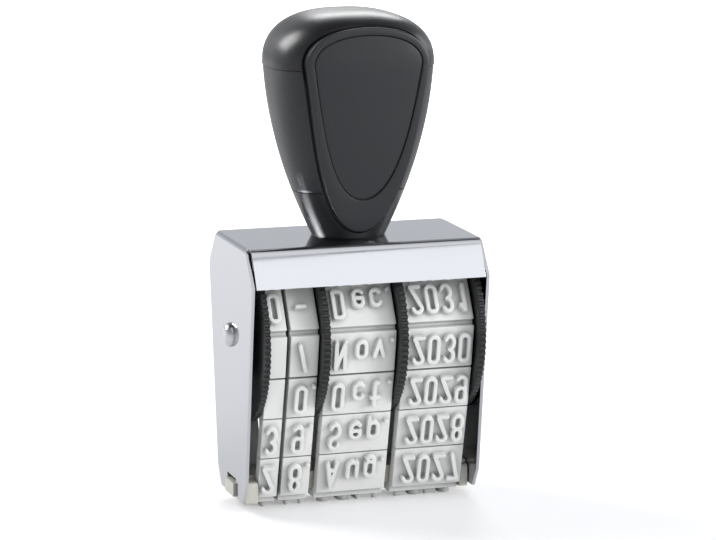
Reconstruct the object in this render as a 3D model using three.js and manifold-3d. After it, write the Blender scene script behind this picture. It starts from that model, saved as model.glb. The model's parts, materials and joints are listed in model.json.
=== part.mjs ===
// Hand date stamp: a folded steel frame carries four type bands on thumb wheels, under a moulded handle.
// Millimetres, +Z up, the front faces -Y and the axle lies along X. The lowest line of type stands on Z = 0.
import * as THREE from 'three';
import { mergeVertices } from 'three/addons/utils/BufferGeometryUtils.js';
import Module from 'manifold-3d';

const wasm = await Module();
wasm.setup();

// Type bands: a closed loop of links, one for each line of type, round a drum above and a platen below.
const linePitch = 7;
const linesOnDrum = 6;
const linesPerRun = 3;
const beltThickness = 1;
const plateHeight = 0.9;
const plateGap = 0.15;
const typeHeight = 1;
const characterHeight = 5;
const typeMargin = 0.35;
const typeRoot = 0.3;
const dayTensWidth = 3.7;
const dayUnitsWidth = 4.8;
const monthWidth = 11.5;
const yearWidth = 11.7;
const dayBandGap = 0.5;

// Thumb wheels: a toothed disc beside each band, and a drum with a flat for each link.
const drumSides = 9;
const drumClearance = 0.25;
const drumEndClearance = 0.1;
const discThickness = 0.9;
const discSideClearance = 0.2;
const discProud = 3;
const toothCount = 90;
const toothDepth = 0.35;
const toothTipShare = 0.4;

// Axle, riveted over outside both side plates.
const axleRadius = 1.6;
const bearingClearance = 0.12;
const rivetRadius = 1.95;
const rivetHeight = 1.15;

// Rings on the axle: a spacer between the two day drums, and a washer in a recess of each outer disc.
const spacerRadius = 3.4;
const washerRadius = 4.6;
const washerThickness = 0.5;
const washerClearance = 0.1;

// Folded frame: top plate, two side plates and a sloping lip along the front and the back.
const sheet = 0.8;
const frameRise = 1.4;
const wheelHeadroom = 0.4;
const bendRadius = 1.1;
const sideTopHalf = 8.5;
const sideShoulderHalf = 12.7;
const sideShoulderDrop = 5.5;
const sideFootHalf = 8.2;
const footChamferDepth = 2;
const footChamferHeight = 3.1;
const lipTopHalf = 9.85;
const lipEdgeHalf = 12.95;
const lipDrop = 5.75;
const lipEndGap = 0.15;

// Platen bar inside the lower ends of the bands: a cheek and a tab at each end hold it in the side plates.
const platenHeight = 3;
const platenClearance = 0.1;
const cheekHalfDepth = 4.4;
const cheekFoot = 1.2;
const cheekHeight = 3.7;
const cheekRound = 0.6;
const cheekClearance = 0.12;
const tabHalfDepth = 2.4;
const tabFoot = 1.9;
const tabHeight = 2.2;
const tabProud = 0.9;
const windowClearance = 0.15;
const windowHeadroom = 0.8;

// Handle: a round neck that swells into a wide grip under a domed cap. Heights are above the top plate.
const neckRadius = 5.8;
const handleHalfWidth = 13.1;
const handleHalfDepth = 11.1;
const partingHeight = 27.3;
const partingRise = 0.5;
const seamHeight = 7.4;
const seamRise = 1.2;
const capHeight = 8.6;
const capOverhang = 0.12;
const widthSwellShare = 0.92;
const depthSwellShare = 0.8;
const roundExponent = 2;
const sectionExponent = 2.8;
const crownExponent = 2.45;
const browExponent = 3.2;
const gripWall = 2.2;
const plugWall = 1.65;
const seamGap = 0.12;
const spigotRadius = 4.2;
const spigotHeight = 3;
const fitClearance = 0.15;

// Label shields, front and back: a teardrop plate in a pocket of the handle, with a sunk panel.
const shieldHalfWidth = 10.3;
const shieldTipHeight = 1.35;
const shieldWideHeight = 28.4;
const shieldTopDrop = 1.7;
const shieldProud = 0.5;
const shieldSeat = 0.95;
const panelMargin = 1.25;
const panelTipMargin = 4.6;
const panelRecess = 0.3;
const tipWidthShare = 0.64;
const flankWidthShare = 0.85;
const flankHeightShare = 0.615;
const shoulderShare = 0.6;

// Handle screw and its washer, under the top plate.
const screwRadius = 1.4;
const screwHeadRadius = 2.8;
const screwHeadHeight = 1.2;
const screwLength = 10;
const screwSlotWidth = 0.7;
const screwSlotDepth = 0.6;
const screwWasherRadius = 4.1;
const screwWasherThickness = 0.4;
const threadClearance = 0.15;
const boreEndRoom = 1;

// How far every cutting tool runs past what it cuts.
const overrun = 1;

// Counts of flat steps on round forms.
const roundSteps = 20;
const loftSteps = 32;
const gripRings = 6;
const crownRings = 6;
const bendSteps = 4;
const curveSteps = 8;

// Two links lie in one line where the sine of the angle between them is below this.
const straightSine = 0.001;

const chrome = { color: 0xd4d6de, roughness: 0.14, metalness: 1 };
const rivetSteel = { color: 0xc6c8cc, roughness: 0.3, metalness: 1 };
const springSteel = { color: 0x9a9ca2, roughness: 0.35, metalness: 1 };
const wheelBlack = { color: 0x1f2124, roughness: 0.45, metalness: 0 };
const glossBlack = { color: 0x17181a, roughness: 0.14, metalness: 0 };
const satinBlack = { color: 0x3a3d41, roughness: 0.5, metalness: 0 };
const paleRubber = { color: 0xdfe0dc, roughness: 0.6, metalness: 0 };
const palePlastic = { color: 0xd6d6cc, roughness: 0.55, metalness: 0 };

// Places that follow from the sizes above.
const drumAngle = (2 * Math.PI) / drumSides;
const neutralRadius = linePitch / 2 / Math.tan(drumAngle / 2);
const cornerRadius = neutralRadius / Math.cos(drumAngle / 2);
const beltInnerRadius = neutralRadius - beltThickness / 2;
const plateRadius = neutralRadius + beltThickness / 2 + plateHeight;
const discRadius = plateRadius + discProud;
const drumRadius = beltInnerRadius - drumClearance;
const boreRadius = axleRadius + bearingClearance;
const runTopHalf = cornerRadius * Math.sin((linesOnDrum * drumAngle) / 2);
const runTopRise = cornerRadius * Math.cos((linesOnDrum * drumAngle) / 2);
const runFall = Math.sqrt((linesPerRun * linePitch) ** 2 - (runTopHalf - linePitch / 2) ** 2);
const axleZ = typeHeight + plateHeight + beltThickness / 2 + runFall - runTopRise;
const frameTop = axleZ + discRadius + wheelHeadroom + sheet;
const underTop = frameTop - sheet;

const besideDisc = discThickness + 2 * discSideClearance;
const innerHalf = (dayTensWidth + dayBandGap + dayUnitsWidth + monthWidth + yearWidth + 4 * besideDisc) / 2;
const frameHalf = innerHalf + sheet;
const dayTensFrom = -innerHalf + besideDisc;
const dayTensTo = dayTensFrom + dayTensWidth;
const dayUnitsFrom = dayTensTo + dayBandGap;
const dayUnitsTo = dayUnitsFrom + dayUnitsWidth;
const monthFrom = dayUnitsTo + besideDisc;
const monthTo = monthFrom + monthWidth;
const yearFrom = monthTo + besideDisc;
const yearTo = yearFrom + yearWidth;

const shieldTopHeight = partingHeight + capHeight - shieldTopDrop;

function toSolid(geometry) {
  const bare = geometry.index ? geometry.toNonIndexed() : geometry.clone();
  bare.deleteAttribute('normal');
  bare.deleteAttribute('uv');
  const merged = mergeVertices(bare);
  const corners = Array.from(merged.index.array);
  const faces = [];
  for (let i = 0; i < corners.length; i += 3) {
    const face = corners.slice(i, i + 3);
    if (new Set(face).size === 3) faces.push(...face);
  }
  const vertProperties = new Float32Array(merged.attributes.position.array);
  return new wasm.Manifold(new wasm.Mesh({ numProp: 3, vertProperties, triVerts: new Uint32Array(faces) }));
}

function piece(name, solid, finish) {
  const mesh = solid.getMesh();
  const indexed = new THREE.BufferGeometry();
  indexed.setAttribute('position', new THREE.BufferAttribute(new Float32Array(mesh.vertProperties), 3));
  indexed.setIndex(new THREE.BufferAttribute(new Uint32Array(mesh.triVerts), 1));
  const geometry = indexed.toNonIndexed();
  geometry.computeVertexNormals();
  const result = new THREE.Mesh(geometry, new THREE.MeshStandardMaterial(finish));
  result.name = name;
  return result;
}

// Corners are [across, up] or [across, up, radius], and the first one is sharp.
function outline(corners) {
  const shape = new THREE.Shape();
  corners.forEach(([across, up, radius = 0], i) => {
    if (i === 0) shape.moveTo(across, up);
    else if (radius === 0) shape.lineTo(across, up);
    else {
      const here = new THREE.Vector2(across, up);
      const back = new THREE.Vector2(...corners[i - 1]).sub(here).normalize();
      const on = new THREE.Vector2(...corners[(i + 1) % corners.length]).sub(here).normalize();
      const tangent = radius / Math.tan(Math.acos(back.dot(on)) / 2);
      const start = here.clone().addScaledVector(back, tangent);
      const end = here.clone().addScaledVector(on, tangent);
      shape.lineTo(start.x, start.y);
      shape.quadraticCurveTo(across, up, end.x, end.y);
    }
  });
  shape.closePath();
  return shape;
}

// An outline in (Y, Z) pushed along X.
function alongX(shape, from, to, steps = bendSteps) {
  const depth = to - from;
  const geometry = new THREE.ExtrudeGeometry(shape, { depth, bevelEnabled: false, curveSegments: steps });
  geometry.translate(0, 0, from);
  const y = new THREE.Vector3(0, 1, 0);
  const z = new THREE.Vector3(0, 0, 1);
  const x = new THREE.Vector3(1, 0, 0);
  return toSolid(geometry.applyMatrix4(new THREE.Matrix4().makeBasis(y, z, x)));
}

// An outline in (X, Z) pushed along Y.
function alongY(shape, from, to, steps = bendSteps) {
  const depth = to - from;
  const geometry = new THREE.ExtrudeGeometry(shape, { depth, bevelEnabled: false, curveSegments: steps });
  geometry.translate(0, 0, -to);
  const x = new THREE.Vector3(1, 0, 0);
  const z = new THREE.Vector3(0, 0, 1);
  const front = new THREE.Vector3(0, -1, 0);
  return toSolid(geometry.applyMatrix4(new THREE.Matrix4().makeBasis(x, z, front)));
}

function rodAlongX(radius, from, to) {
  const geometry = new THREE.CylinderGeometry(radius, radius, to - from, roundSteps);
  geometry.rotateZ(-Math.PI / 2);
  geometry.translate((from + to) / 2, 0, axleZ);
  return toSolid(geometry);
}

function rodAlongZ(radius, from, to) {
  const geometry = new THREE.CylinderGeometry(radius, radius, to - from, roundSteps);
  geometry.rotateX(Math.PI / 2);
  geometry.translate(0, 0, (from + to) / 2);
  return toSolid(geometry);
}

function block(xFrom, xTo, yFrom, yTo, zFrom, zTo) {
  const geometry = new THREE.BoxGeometry(xTo - xFrom, yTo - yFrom, zTo - zFrom);
  geometry.translate((xFrom + xTo) / 2, (yFrom + yTo) / 2, (zFrom + zTo) / 2);
  return toSolid(geometry);
}

// The links of a band in (Y, Z), clockwise seen from +X: over the drum from the front, then down the back.
function makeLinks() {
  const middle = [];
  for (let i = 0; i < linesOnDrum; i += 1) {
    const angle = Math.PI / 2 + (linesOnDrum / 2 - i) * drumAngle;
    middle.push(new THREE.Vector2(cornerRadius * Math.cos(angle), axleZ + cornerRadius * Math.sin(angle)));
  }
  const highZ = axleZ + runTopRise;
  const lowZ = highZ - runFall;
  for (let i = 0; i <= linesPerRun; i += 1) {
    const share = i / linesPerRun;
    const half = THREE.MathUtils.lerp(runTopHalf, linePitch / 2, share);
    middle.push(new THREE.Vector2(half, THREE.MathUtils.lerp(highZ, lowZ, share)));
  }
  for (let i = linesPerRun; i > 0; i -= 1) {
    const mirror = middle[linesOnDrum + i];
    middle.push(new THREE.Vector2(-mirror.x, mirror.y));
  }
  return middle.map((from, i) => {
    const to = middle[(i + 1) % middle.length];
    const along = to.clone().sub(from).normalize();
    return { to, along, out: new THREE.Vector2(-along.y, along.x), centre: from.clone().lerp(to, 1 / 2) };
  });
}

const links = makeLinks();
const lastOnDrum = links[linesOnDrum - 1];
const backRun = links[linesOnDrum];
const lastBackRun = links[linesOnDrum + linesPerRun - 1];
const lowest = links[linesOnDrum + linesPerRun];
const firstFrontRun = links[linesOnDrum + linesPerRun + 1];
const lastFrontRun = links[links.length - 1];

function onLink(link, along, out) {
  return link.centre.clone().addScaledVector(link.along, along).addScaledVector(link.out, out);
}

// Where two neighbouring links meet, a given height outside their middle layer.
function whereLinksMeet(before, after, out) {
  const way = before.out.clone().add(after.out).normalize();
  return before.to.clone().addScaledVector(way, out / way.dot(before.out));
}

// Round over the drum, so that the drum can turn, then straight down to the platen.
function bandInside(from, to) {
  const points = [];
  const reach = ((linesOnDrum - 1) * drumAngle) / 2;
  for (let i = 0; i <= roundSteps; i += 1) {
    const angle = Math.PI / 2 + reach * (1 - (2 * i) / roundSteps);
    const across = beltInnerRadius * Math.cos(angle);
    points.push(new THREE.Vector2(across, axleZ + beltInnerRadius * Math.sin(angle)));
  }
  points.push(whereLinksMeet(lastOnDrum, backRun, -beltThickness / 2));
  points.push(whereLinksMeet(lastBackRun, lowest, -beltThickness / 2));
  points.push(whereLinksMeet(lowest, firstFrontRun, -beltThickness / 2));
  points.push(whereLinksMeet(lastFrontRun, links[0], -beltThickness / 2));
  return alongX(new THREE.Shape(points), from, to);
}

function bandBody(from, to) {
  const reach = (linePitch - plateGap) / 2;
  const beltFace = beltThickness / 2;
  const points = [];
  links.forEach((link, i) => {
    const next = links[(i + 1) % links.length];
    points.push(onLink(link, -reach, beltFace));
    points.push(onLink(link, -reach, beltFace + plateHeight));
    points.push(onLink(link, reach, beltFace + plateHeight));
    points.push(onLink(link, reach, beltFace));
    const bend = Math.abs(link.along.cross(next.along));
    if (bend > straightSine) points.push(whereLinksMeet(link, next, beltFace));
  });
  return alongX(new THREE.Shape(points), from, to).subtract(bandInside(from - overrun, to + overrun));
}

// Plain blocks stand for the raised characters: as tall, as wide and as proud as a full line of them.
function band(name, from, to) {
  const plateFace = beltThickness / 2 + plateHeight;
  const root = plateFace - typeRoot;
  const face = plateFace + typeHeight;
  const half = characterHeight / 2;
  let solid = bandBody(from, to);
  links.forEach((link) => {
    const shape = new THREE.Shape([
      onLink(link, -half, root),
      onLink(link, -half, face),
      onLink(link, half, face),
      onLink(link, half, root),
    ]);
    solid = solid.add(alongX(shape, from + typeMargin, to - typeMargin));
  });
  return piece(name, solid, paleRubber);
}

function toothedDisc(from) {
  const pitch = (2 * Math.PI) / toothCount;
  const at = (turn, radius) => new THREE.Vector2(
    radius * Math.cos(turn * pitch), axleZ + radius * Math.sin(turn * pitch));
  const points = [];
  for (let i = 0; i < toothCount; i += 1) {
    points.push(at(i, discRadius));
    points.push(at(i + toothTipShare, discRadius));
    points.push(at(i + (1 + toothTipShare) / 2, discRadius - toothDepth));
  }
  return alongX(new THREE.Shape(points), from, from + discThickness);
}

function drum(from, to) {
  const points = [];
  for (let i = 0; i < drumSides; i += 1) {
    const angle = Math.PI / 2 + i * drumAngle;
    points.push(new THREE.Vector2(drumRadius * Math.cos(angle), axleZ + drumRadius * Math.sin(angle)));
  }
  return alongX(new THREE.Shape(points), from, to);
}

function wheel(discFrom, drumFrom, drumTo) {
  const bore = rodAlongX(boreRadius, drumFrom - overrun, drumTo + overrun);
  return toothedDisc(discFrom).add(drum(drumFrom, drumTo)).subtract(bore);
}

function washerRecess(from, to) {
  return rodAlongX(washerRadius + washerClearance, from, to);
}

function wheels() {
  const recessDepth = washerThickness - discSideClearance + washerClearance;
  const firstDisc = dayTensFrom - discSideClearance - discThickness;
  const secondDisc = dayUnitsTo + discSideClearance;
  const thirdDisc = monthTo + discSideClearance;
  const lastDisc = yearTo + discSideClearance;
  const lastFace = lastDisc + discThickness;
  const dayTens = wheel(firstDisc, firstDisc, dayTensTo - drumEndClearance)
    .subtract(washerRecess(firstDisc - overrun, firstDisc + recessDepth));
  const dayUnits = wheel(secondDisc, dayUnitsFrom + drumEndClearance, secondDisc + discThickness);
  const month = wheel(thirdDisc, secondDisc + discThickness + drumEndClearance, thirdDisc + discThickness);
  const year = wheel(lastDisc, thirdDisc + discThickness + drumEndClearance, lastFace)
    .subtract(washerRecess(lastFace - recessDepth, lastFace + overrun));
  return [
    piece('day_tens_wheel', dayTens, wheelBlack),
    piece('day_units_wheel', dayUnits, wheelBlack),
    piece('month_wheel', month, wheelBlack),
    piece('year_wheel', year, wheelBlack),
  ];
}

function ring(name, radius, from, to) {
  const bore = rodAlongX(boreRadius, from - overrun, to + overrun);
  return piece(name, rodAlongX(radius, from, to).subtract(bore), springSteel);
}

function wheelAxle() {
  const profile = [];
  for (let i = 0; i <= curveSteps / 2; i += 1) {
    const angle = (i * Math.PI) / curveSteps;
    const end = -frameHalf - rivetHeight * Math.cos(angle);
    profile.push(new THREE.Vector2(rivetRadius * Math.sin(angle), end));
  }
  profile.push(new THREE.Vector2(axleRadius, -frameHalf));
  const mirrored = profile.map((point) => new THREE.Vector2(point.x, -point.y)).reverse();
  const geometry = new THREE.LatheGeometry([...profile, ...mirrored], roundSteps);
  geometry.rotateZ(-Math.PI / 2);
  geometry.translate(0, 0, axleZ);
  return piece('wheel_axle', toSolid(geometry), rivetSteel);
}

// The side plates and the ends of the top plate: a strip bent twice, trimmed to the side plates' outline.
function sidePlates() {
  const strip = outline([
    [-frameHalf, frameRise],
    [-innerHalf, frameRise],
    [-innerHalf, underTop, bendRadius - sheet],
    [innerHalf, underTop, bendRadius - sheet],
    [innerHalf, frameRise],
    [frameHalf, frameRise],
    [frameHalf, frameTop, bendRadius],
    [-frameHalf, frameTop, bendRadius],
  ]);
  const shoulderZ = frameTop - sideShoulderDrop;
  const chamferZ = frameRise + footChamferHeight;
  const footHalf = sideFootHalf - footChamferDepth;
  const side = outline([
    [-footHalf, frameRise - overrun],
    [footHalf, frameRise - overrun],
    [footHalf, frameRise],
    [sideFootHalf, chamferZ],
    [sideShoulderHalf, shoulderZ],
    [sideTopHalf, frameTop],
    [sideTopHalf, frameTop + overrun],
    [-sideTopHalf, frameTop + overrun],
    [-sideTopHalf, frameTop],
    [-sideShoulderHalf, shoulderZ],
    [-sideFootHalf, chamferZ],
    [-footHalf, frameRise],
  ]);
  const bent = alongY(strip, -sideShoulderHalf - overrun, sideShoulderHalf + overrun);
  return bent.intersect(alongX(side, -frameHalf - overrun, frameHalf + overrun));
}

function topWithLips() {
  const run = lipEdgeHalf - lipTopHalf;
  const slant = Math.hypot(run, lipDrop);
  const inAcross = (sheet * lipDrop) / slant;
  const inDown = (sheet * run) / slant;
  const edgeZ = frameTop - lipDrop;
  const innerBend = lipTopHalf - sheet * Math.tan(Math.atan2(lipDrop, run) / 2);
  const profile = outline([
    [-lipEdgeHalf, edgeZ],
    [-lipEdgeHalf + inAcross, edgeZ - inDown],
    [-innerBend, underTop, bendRadius - sheet],
    [innerBend, underTop, bendRadius - sheet],
    [lipEdgeHalf - inAcross, edgeZ - inDown],
    [lipEdgeHalf, edgeZ],
    [lipTopHalf, frameTop, bendRadius],
    [-lipTopHalf, frameTop, bendRadius],
  ]);
  return alongX(profile, -innerHalf + lipEndGap, innerHalf - lipEndGap);
}

function frame() {
  const reach = frameHalf + overrun;
  const windowHalf = tabHalfDepth + windowClearance;
  const windowTop = tabFoot + tabHeight + windowHeadroom;
  const axleHoles = rodAlongX(boreRadius, -reach, reach);
  const windows = block(-reach, reach, -windowHalf, windowHalf, tabFoot - windowClearance, windowTop);
  const screwHole = rodAlongZ(screwRadius + threadClearance, underTop - overrun, frameTop + overrun);
  const solid = sidePlates().add(topWithLips()).subtract(axleHoles).subtract(windows).subtract(screwHole);
  return piece('frame', solid, chrome);
}

function platenBar() {
  const foot = whereLinksMeet(lastBackRun, lowest, -beltThickness / 2 - platenClearance);
  const rise = platenHeight / -lastBackRun.along.y;
  const top = foot.clone().addScaledVector(lastBackRun.along, -rise);
  const section = outline([[-foot.x, foot.y], [foot.x, foot.y], [top.x, top.y], [-top.x, top.y]]);
  const outer = innerHalf - cheekClearance;
  const cheekInner = yearTo + cheekClearance;
  const cheekTop = cheekFoot + cheekHeight;
  const cheek = outline([
    [0, cheekFoot],
    [cheekHalfDepth, cheekFoot, cheekRound],
    [cheekHalfDepth, cheekTop, cheekRound],
    [-cheekHalfDepth, cheekTop, cheekRound],
    [-cheekHalfDepth, cheekFoot, cheekRound],
  ]);
  const tabReach = frameHalf + tabProud;
  const tabTop = tabFoot + tabHeight;
  const solid = alongX(section, -outer, outer)
    .add(alongX(cheek, -outer, -cheekInner))
    .add(alongX(cheek, cheekInner, outer))
    .add(block(-tabReach, -cheekInner, -tabHalfDepth, tabHalfDepth, tabFoot, tabTop))
    .add(block(cheekInner, tabReach, -tabHalfDepth, tabHalfDepth, tabFoot, tabTop));
  return piece('platen_bar', solid, palePlastic);
}

function swell(share, endShare) {
  return (1 - (1 - endShare * share) ** 2) / (1 - (1 - endShare) ** 2);
}

// One section of the handle, grown outwards by a given amount. Crown runs from 0 at the parting line to 1.
function handleSection(share, crown, grow) {
  const halfWidth = THREE.MathUtils.lerp(neckRadius, handleHalfWidth, swell(share, widthSwellShare)) + grow;
  const halfDepth = THREE.MathUtils.lerp(neckRadius, handleHalfDepth, swell(share, depthSwellShare)) + grow;
  const width = halfWidth * (1 - crown ** crownExponent) ** (1 / crownExponent);
  const depth = halfDepth * (1 - crown ** browExponent) ** (1 / browExponent);
  const exponent = THREE.MathUtils.lerp(roundExponent, sectionExponent, share);
  const z = frameTop + share * partingHeight + crown * (capHeight + grow);
  const bulge = (value) => Math.sign(value) * Math.abs(value) ** (2 / exponent);
  const points = [];
  for (let i = 0; i < loftSteps; i += 1) {
    const angle = (2 * Math.PI * i) / loftSteps;
    points.push(new THREE.Vector3(width * bulge(Math.cos(angle)), depth * bulge(Math.sin(angle)), z));
  }
  return points;
}

// The whole handle as one loft from the top plate to the crown.
function handleForm(grow) {
  const rings = [];
  for (let i = 0; i <= gripRings; i += 1) {
    rings.push(handleSection(i / gripRings, 0, grow));
  }
  for (let i = 1; i < crownRings; i += 1) {
    rings.push(handleSection(1, 1 - (1 - i / crownRings) ** 2, grow));
  }
  const crownZ = frameTop + partingHeight + capHeight + grow;
  const points = [new THREE.Vector3(0, 0, frameTop), ...rings.flat(), new THREE.Vector3(0, 0, crownZ)];
  const at = (ringIndex, step) => 1 + ringIndex * loftSteps + (step % loftSteps);
  const faces = [];
  for (let step = 0; step < loftSteps; step += 1) {
    faces.push(0, at(0, step + 1), at(0, step));
    for (let i = 1; i < rings.length; i += 1) {
      faces.push(at(i - 1, step), at(i - 1, step + 1), at(i, step + 1));
      faces.push(at(i - 1, step), at(i, step + 1), at(i, step));
    }
    faces.push(at(rings.length - 1, step), at(rings.length - 1, step + 1), points.length - 1);
  }
  const geometry = new THREE.BufferGeometry().setFromPoints(points);
  geometry.setIndex(faces);
  return toSolid(geometry);
}

// Everything above a height on the handle, where the cut rises towards the front and the back.
function above(height, rise) {
  const reach = handleHalfDepth + capOverhang + overrun;
  const side = handleHalfWidth + capOverhang + overrun;
  const low = frameTop + height;
  const high = frameTop + partingHeight + capHeight + capOverhang + overrun;
  const shape = new THREE.Shape();
  shape.moveTo(-reach, low + rise);
  if (rise > 0) shape.quadraticCurveTo(0, low - rise, reach, low + rise);
  else shape.lineTo(reach, low);
  shape.lineTo(reach, high);
  shape.lineTo(-reach, high);
  shape.closePath();
  return alongX(shape, -side, side, curveSteps);
}

function teardrop(halfWidth, tipHeight, topHeight) {
  const tip = frameTop + tipHeight;
  const wide = frameTop + shieldWideHeight;
  const top = frameTop + topHeight;
  const flank = THREE.MathUtils.lerp(tip, wide, flankHeightShare);
  const shoulder = THREE.MathUtils.lerp(wide, top, shoulderShare);
  const tipHalf = tipWidthShare * halfWidth;
  const flankHalf = flankWidthShare * halfWidth;
  const shoulderHalf = shoulderShare * halfWidth;
  const shape = new THREE.Shape();
  shape.moveTo(0, tip);
  shape.bezierCurveTo(tipHalf, tip, flankHalf, flank, halfWidth, wide);
  shape.bezierCurveTo(halfWidth, shoulder, shoulderHalf, top, 0, top);
  shape.bezierCurveTo(-shoulderHalf, top, -halfWidth, shoulder, -halfWidth, wide);
  shape.bezierCurveTo(-flankHalf, flank, -tipHalf, tip, 0, tip);
  return shape;
}

// A prism of a teardrop through the front half of the handle, or through the back half.
function shieldPrism(shape, atBack) {
  const reach = handleHalfDepth + shieldProud + overrun;
  return atBack ? alongY(shape, 0, reach, curveSteps) : alongY(shape, -reach, 0, curveSteps);
}

function shieldPocket(atBack) {
  const tip = shieldTipHeight - fitClearance;
  const shape = teardrop(shieldHalfWidth + fitClearance, tip, shieldTopHeight + fitClearance);
  return shieldPrism(shape, atBack).subtract(handleForm(-shieldSeat - fitClearance));
}

function shield(name, atBack) {
  const rim = shieldPrism(teardrop(shieldHalfWidth, shieldTipHeight, shieldTopHeight), atBack);
  const panelTip = shieldTipHeight + panelTipMargin;
  const panelOutline = teardrop(shieldHalfWidth - panelMargin, panelTip, shieldTopHeight - panelMargin);
  const panel = shieldPrism(panelOutline, atBack).subtract(handleForm(shieldProud - panelRecess));
  const solid = rim.intersect(handleForm(shieldProud)).subtract(handleForm(-shieldSeat)).subtract(panel);
  return piece(name, solid, satinBlack);
}

function handlePieces() {
  const form = handleForm(0);
  const pockets = shieldPocket(false).add(shieldPocket(true));
  const boreDepth = screwLength - sheet - screwWasherThickness + boreEndRoom;
  const screwBore = rodAlongZ(screwRadius + threadClearance, frameTop - overrun, frameTop + boreDepth);
  const spigotTop = frameTop + seamHeight + spigotHeight;
  const neck = form.subtract(above(seamHeight, seamRise))
    .add(rodAlongZ(spigotRadius, frameTop + seamHeight - overrun, spigotTop))
    .subtract(screwBore).subtract(pockets);
  const socket = rodAlongZ(spigotRadius + fitClearance, frameTop, spigotTop + fitClearance);
  const hollow = handleForm(-gripWall).intersect(above(seamHeight + spigotHeight + gripWall, 0));
  const grip = form.intersect(above(seamHeight + seamGap, seamRise))
    .subtract(above(partingHeight - seamGap, partingRise))
    .subtract(socket).subtract(hollow).subtract(pockets);
  const plugFoot = partingHeight - spigotHeight;
  const plugGrow = -gripWall - fitClearance;
  const plug = handleForm(plugGrow).intersect(above(plugFoot, 0));
  const capHollow = handleForm(plugGrow - plugWall).intersect(above(plugFoot - overrun, 0));
  const cap = handleForm(capOverhang).intersect(above(partingHeight, partingRise))
    .add(plug).subtract(capHollow).subtract(pockets);
  return [
    piece('handle_neck', neck, glossBlack),
    piece('handle_grip', grip, satinBlack),
    piece('handle_cap', cap, glossBlack),
  ];
}

function screwWasher() {
  const low = underTop - screwWasherThickness;
  const bore = rodAlongZ(screwRadius + threadClearance, low - overrun, underTop + overrun);
  return piece('screw_washer', rodAlongZ(screwWasherRadius, low, underTop).subtract(bore), springSteel);
}

function handleScrew() {
  const seat = underTop - screwWasherThickness;
  const low = seat - screwHeadHeight;
  const slotReach = screwHeadRadius + overrun;
  const slotHalf = screwSlotWidth / 2;
  const slot = block(-slotReach, slotReach, -slotHalf, slotHalf, low - overrun, low + screwSlotDepth);
  const shank = rodAlongZ(screwRadius, low, seat + screwLength);
  return piece('handle_screw', rodAlongZ(screwHeadRadius, low, seat).add(shank).subtract(slot), rivetSteel);
}

const stamp = new THREE.Group();
stamp.name = 'date_stamp';
stamp.add(frame(), wheelAxle(), ...wheels());
stamp.add(band('day_tens_band', dayTensFrom, dayTensTo));
stamp.add(band('day_units_band', dayUnitsFrom, dayUnitsTo));
stamp.add(band('month_band', monthFrom, monthTo));
stamp.add(band('year_band', yearFrom, yearTo));
stamp.add(platenBar());
stamp.add(ring('drum_spacer', spacerRadius, dayTensTo, dayUnitsFrom));
stamp.add(ring('left_washer', washerRadius, -innerHalf, -innerHalf + washerThickness));
stamp.add(ring('right_washer', washerRadius, innerHalf - washerThickness, innerHalf));
stamp.add(...handlePieces());
stamp.add(shield('front_shield', false), shield('back_shield', true));
stamp.add(handleScrew(), screwWasher());

export default stamp;
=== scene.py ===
"""Hand date stamp: the looks of every piece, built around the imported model.

Pieces are modelled in millimetres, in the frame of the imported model, and become metres when they are
finished. +Z is up along the handle, the front faces -Y, and the thumb wheels' axle lies along X.
"""

from __future__ import annotations

import json
import logging
import math
from dataclasses import dataclass
from enum import Enum
from typing import Callable

import bpy
from mathutils import Matrix, Vector
from mathutils.geometry import delaunay_2d_cdt

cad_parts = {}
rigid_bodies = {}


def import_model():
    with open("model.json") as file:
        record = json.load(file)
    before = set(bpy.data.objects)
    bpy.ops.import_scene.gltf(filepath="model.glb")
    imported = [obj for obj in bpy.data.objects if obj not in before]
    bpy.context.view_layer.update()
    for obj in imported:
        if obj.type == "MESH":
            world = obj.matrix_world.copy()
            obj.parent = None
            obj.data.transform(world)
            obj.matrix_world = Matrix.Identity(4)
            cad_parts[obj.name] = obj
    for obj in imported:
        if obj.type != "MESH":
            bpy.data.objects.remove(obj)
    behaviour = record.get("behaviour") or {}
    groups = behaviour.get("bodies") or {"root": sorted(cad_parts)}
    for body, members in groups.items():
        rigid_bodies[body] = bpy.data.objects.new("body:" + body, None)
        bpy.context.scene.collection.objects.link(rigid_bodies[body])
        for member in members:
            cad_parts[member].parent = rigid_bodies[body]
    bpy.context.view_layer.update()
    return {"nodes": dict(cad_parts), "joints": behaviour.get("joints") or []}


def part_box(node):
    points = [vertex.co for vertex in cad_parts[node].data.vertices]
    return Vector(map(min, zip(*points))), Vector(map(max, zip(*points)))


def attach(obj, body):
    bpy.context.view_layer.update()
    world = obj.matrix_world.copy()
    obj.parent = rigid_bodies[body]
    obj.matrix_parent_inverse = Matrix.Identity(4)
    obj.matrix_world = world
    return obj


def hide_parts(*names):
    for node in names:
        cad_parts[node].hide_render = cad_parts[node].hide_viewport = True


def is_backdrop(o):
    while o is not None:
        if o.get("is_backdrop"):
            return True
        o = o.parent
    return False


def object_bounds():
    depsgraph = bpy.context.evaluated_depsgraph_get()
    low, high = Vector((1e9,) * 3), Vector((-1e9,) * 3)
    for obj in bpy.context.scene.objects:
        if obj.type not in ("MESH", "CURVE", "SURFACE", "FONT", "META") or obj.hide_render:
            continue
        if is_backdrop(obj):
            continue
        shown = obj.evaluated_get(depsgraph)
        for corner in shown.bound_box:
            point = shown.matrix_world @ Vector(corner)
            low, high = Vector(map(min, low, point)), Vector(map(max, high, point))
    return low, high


LOG = logging.getLogger("date_stamp")
MM = 0.001
# A place this close to a line or a plane, in millimetres, lies on it.
NEAR = 0.01
# A direction runs along an axis from this cosine on.
ALONG = 0.9
# How far a cutting tool reaches past what it cuts, in millimetres.
OVERRUN = 1.0

Point = tuple[float, float]
Colour = tuple[float, float, float]
Test = Callable[[Vector, Vector], bool]


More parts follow.
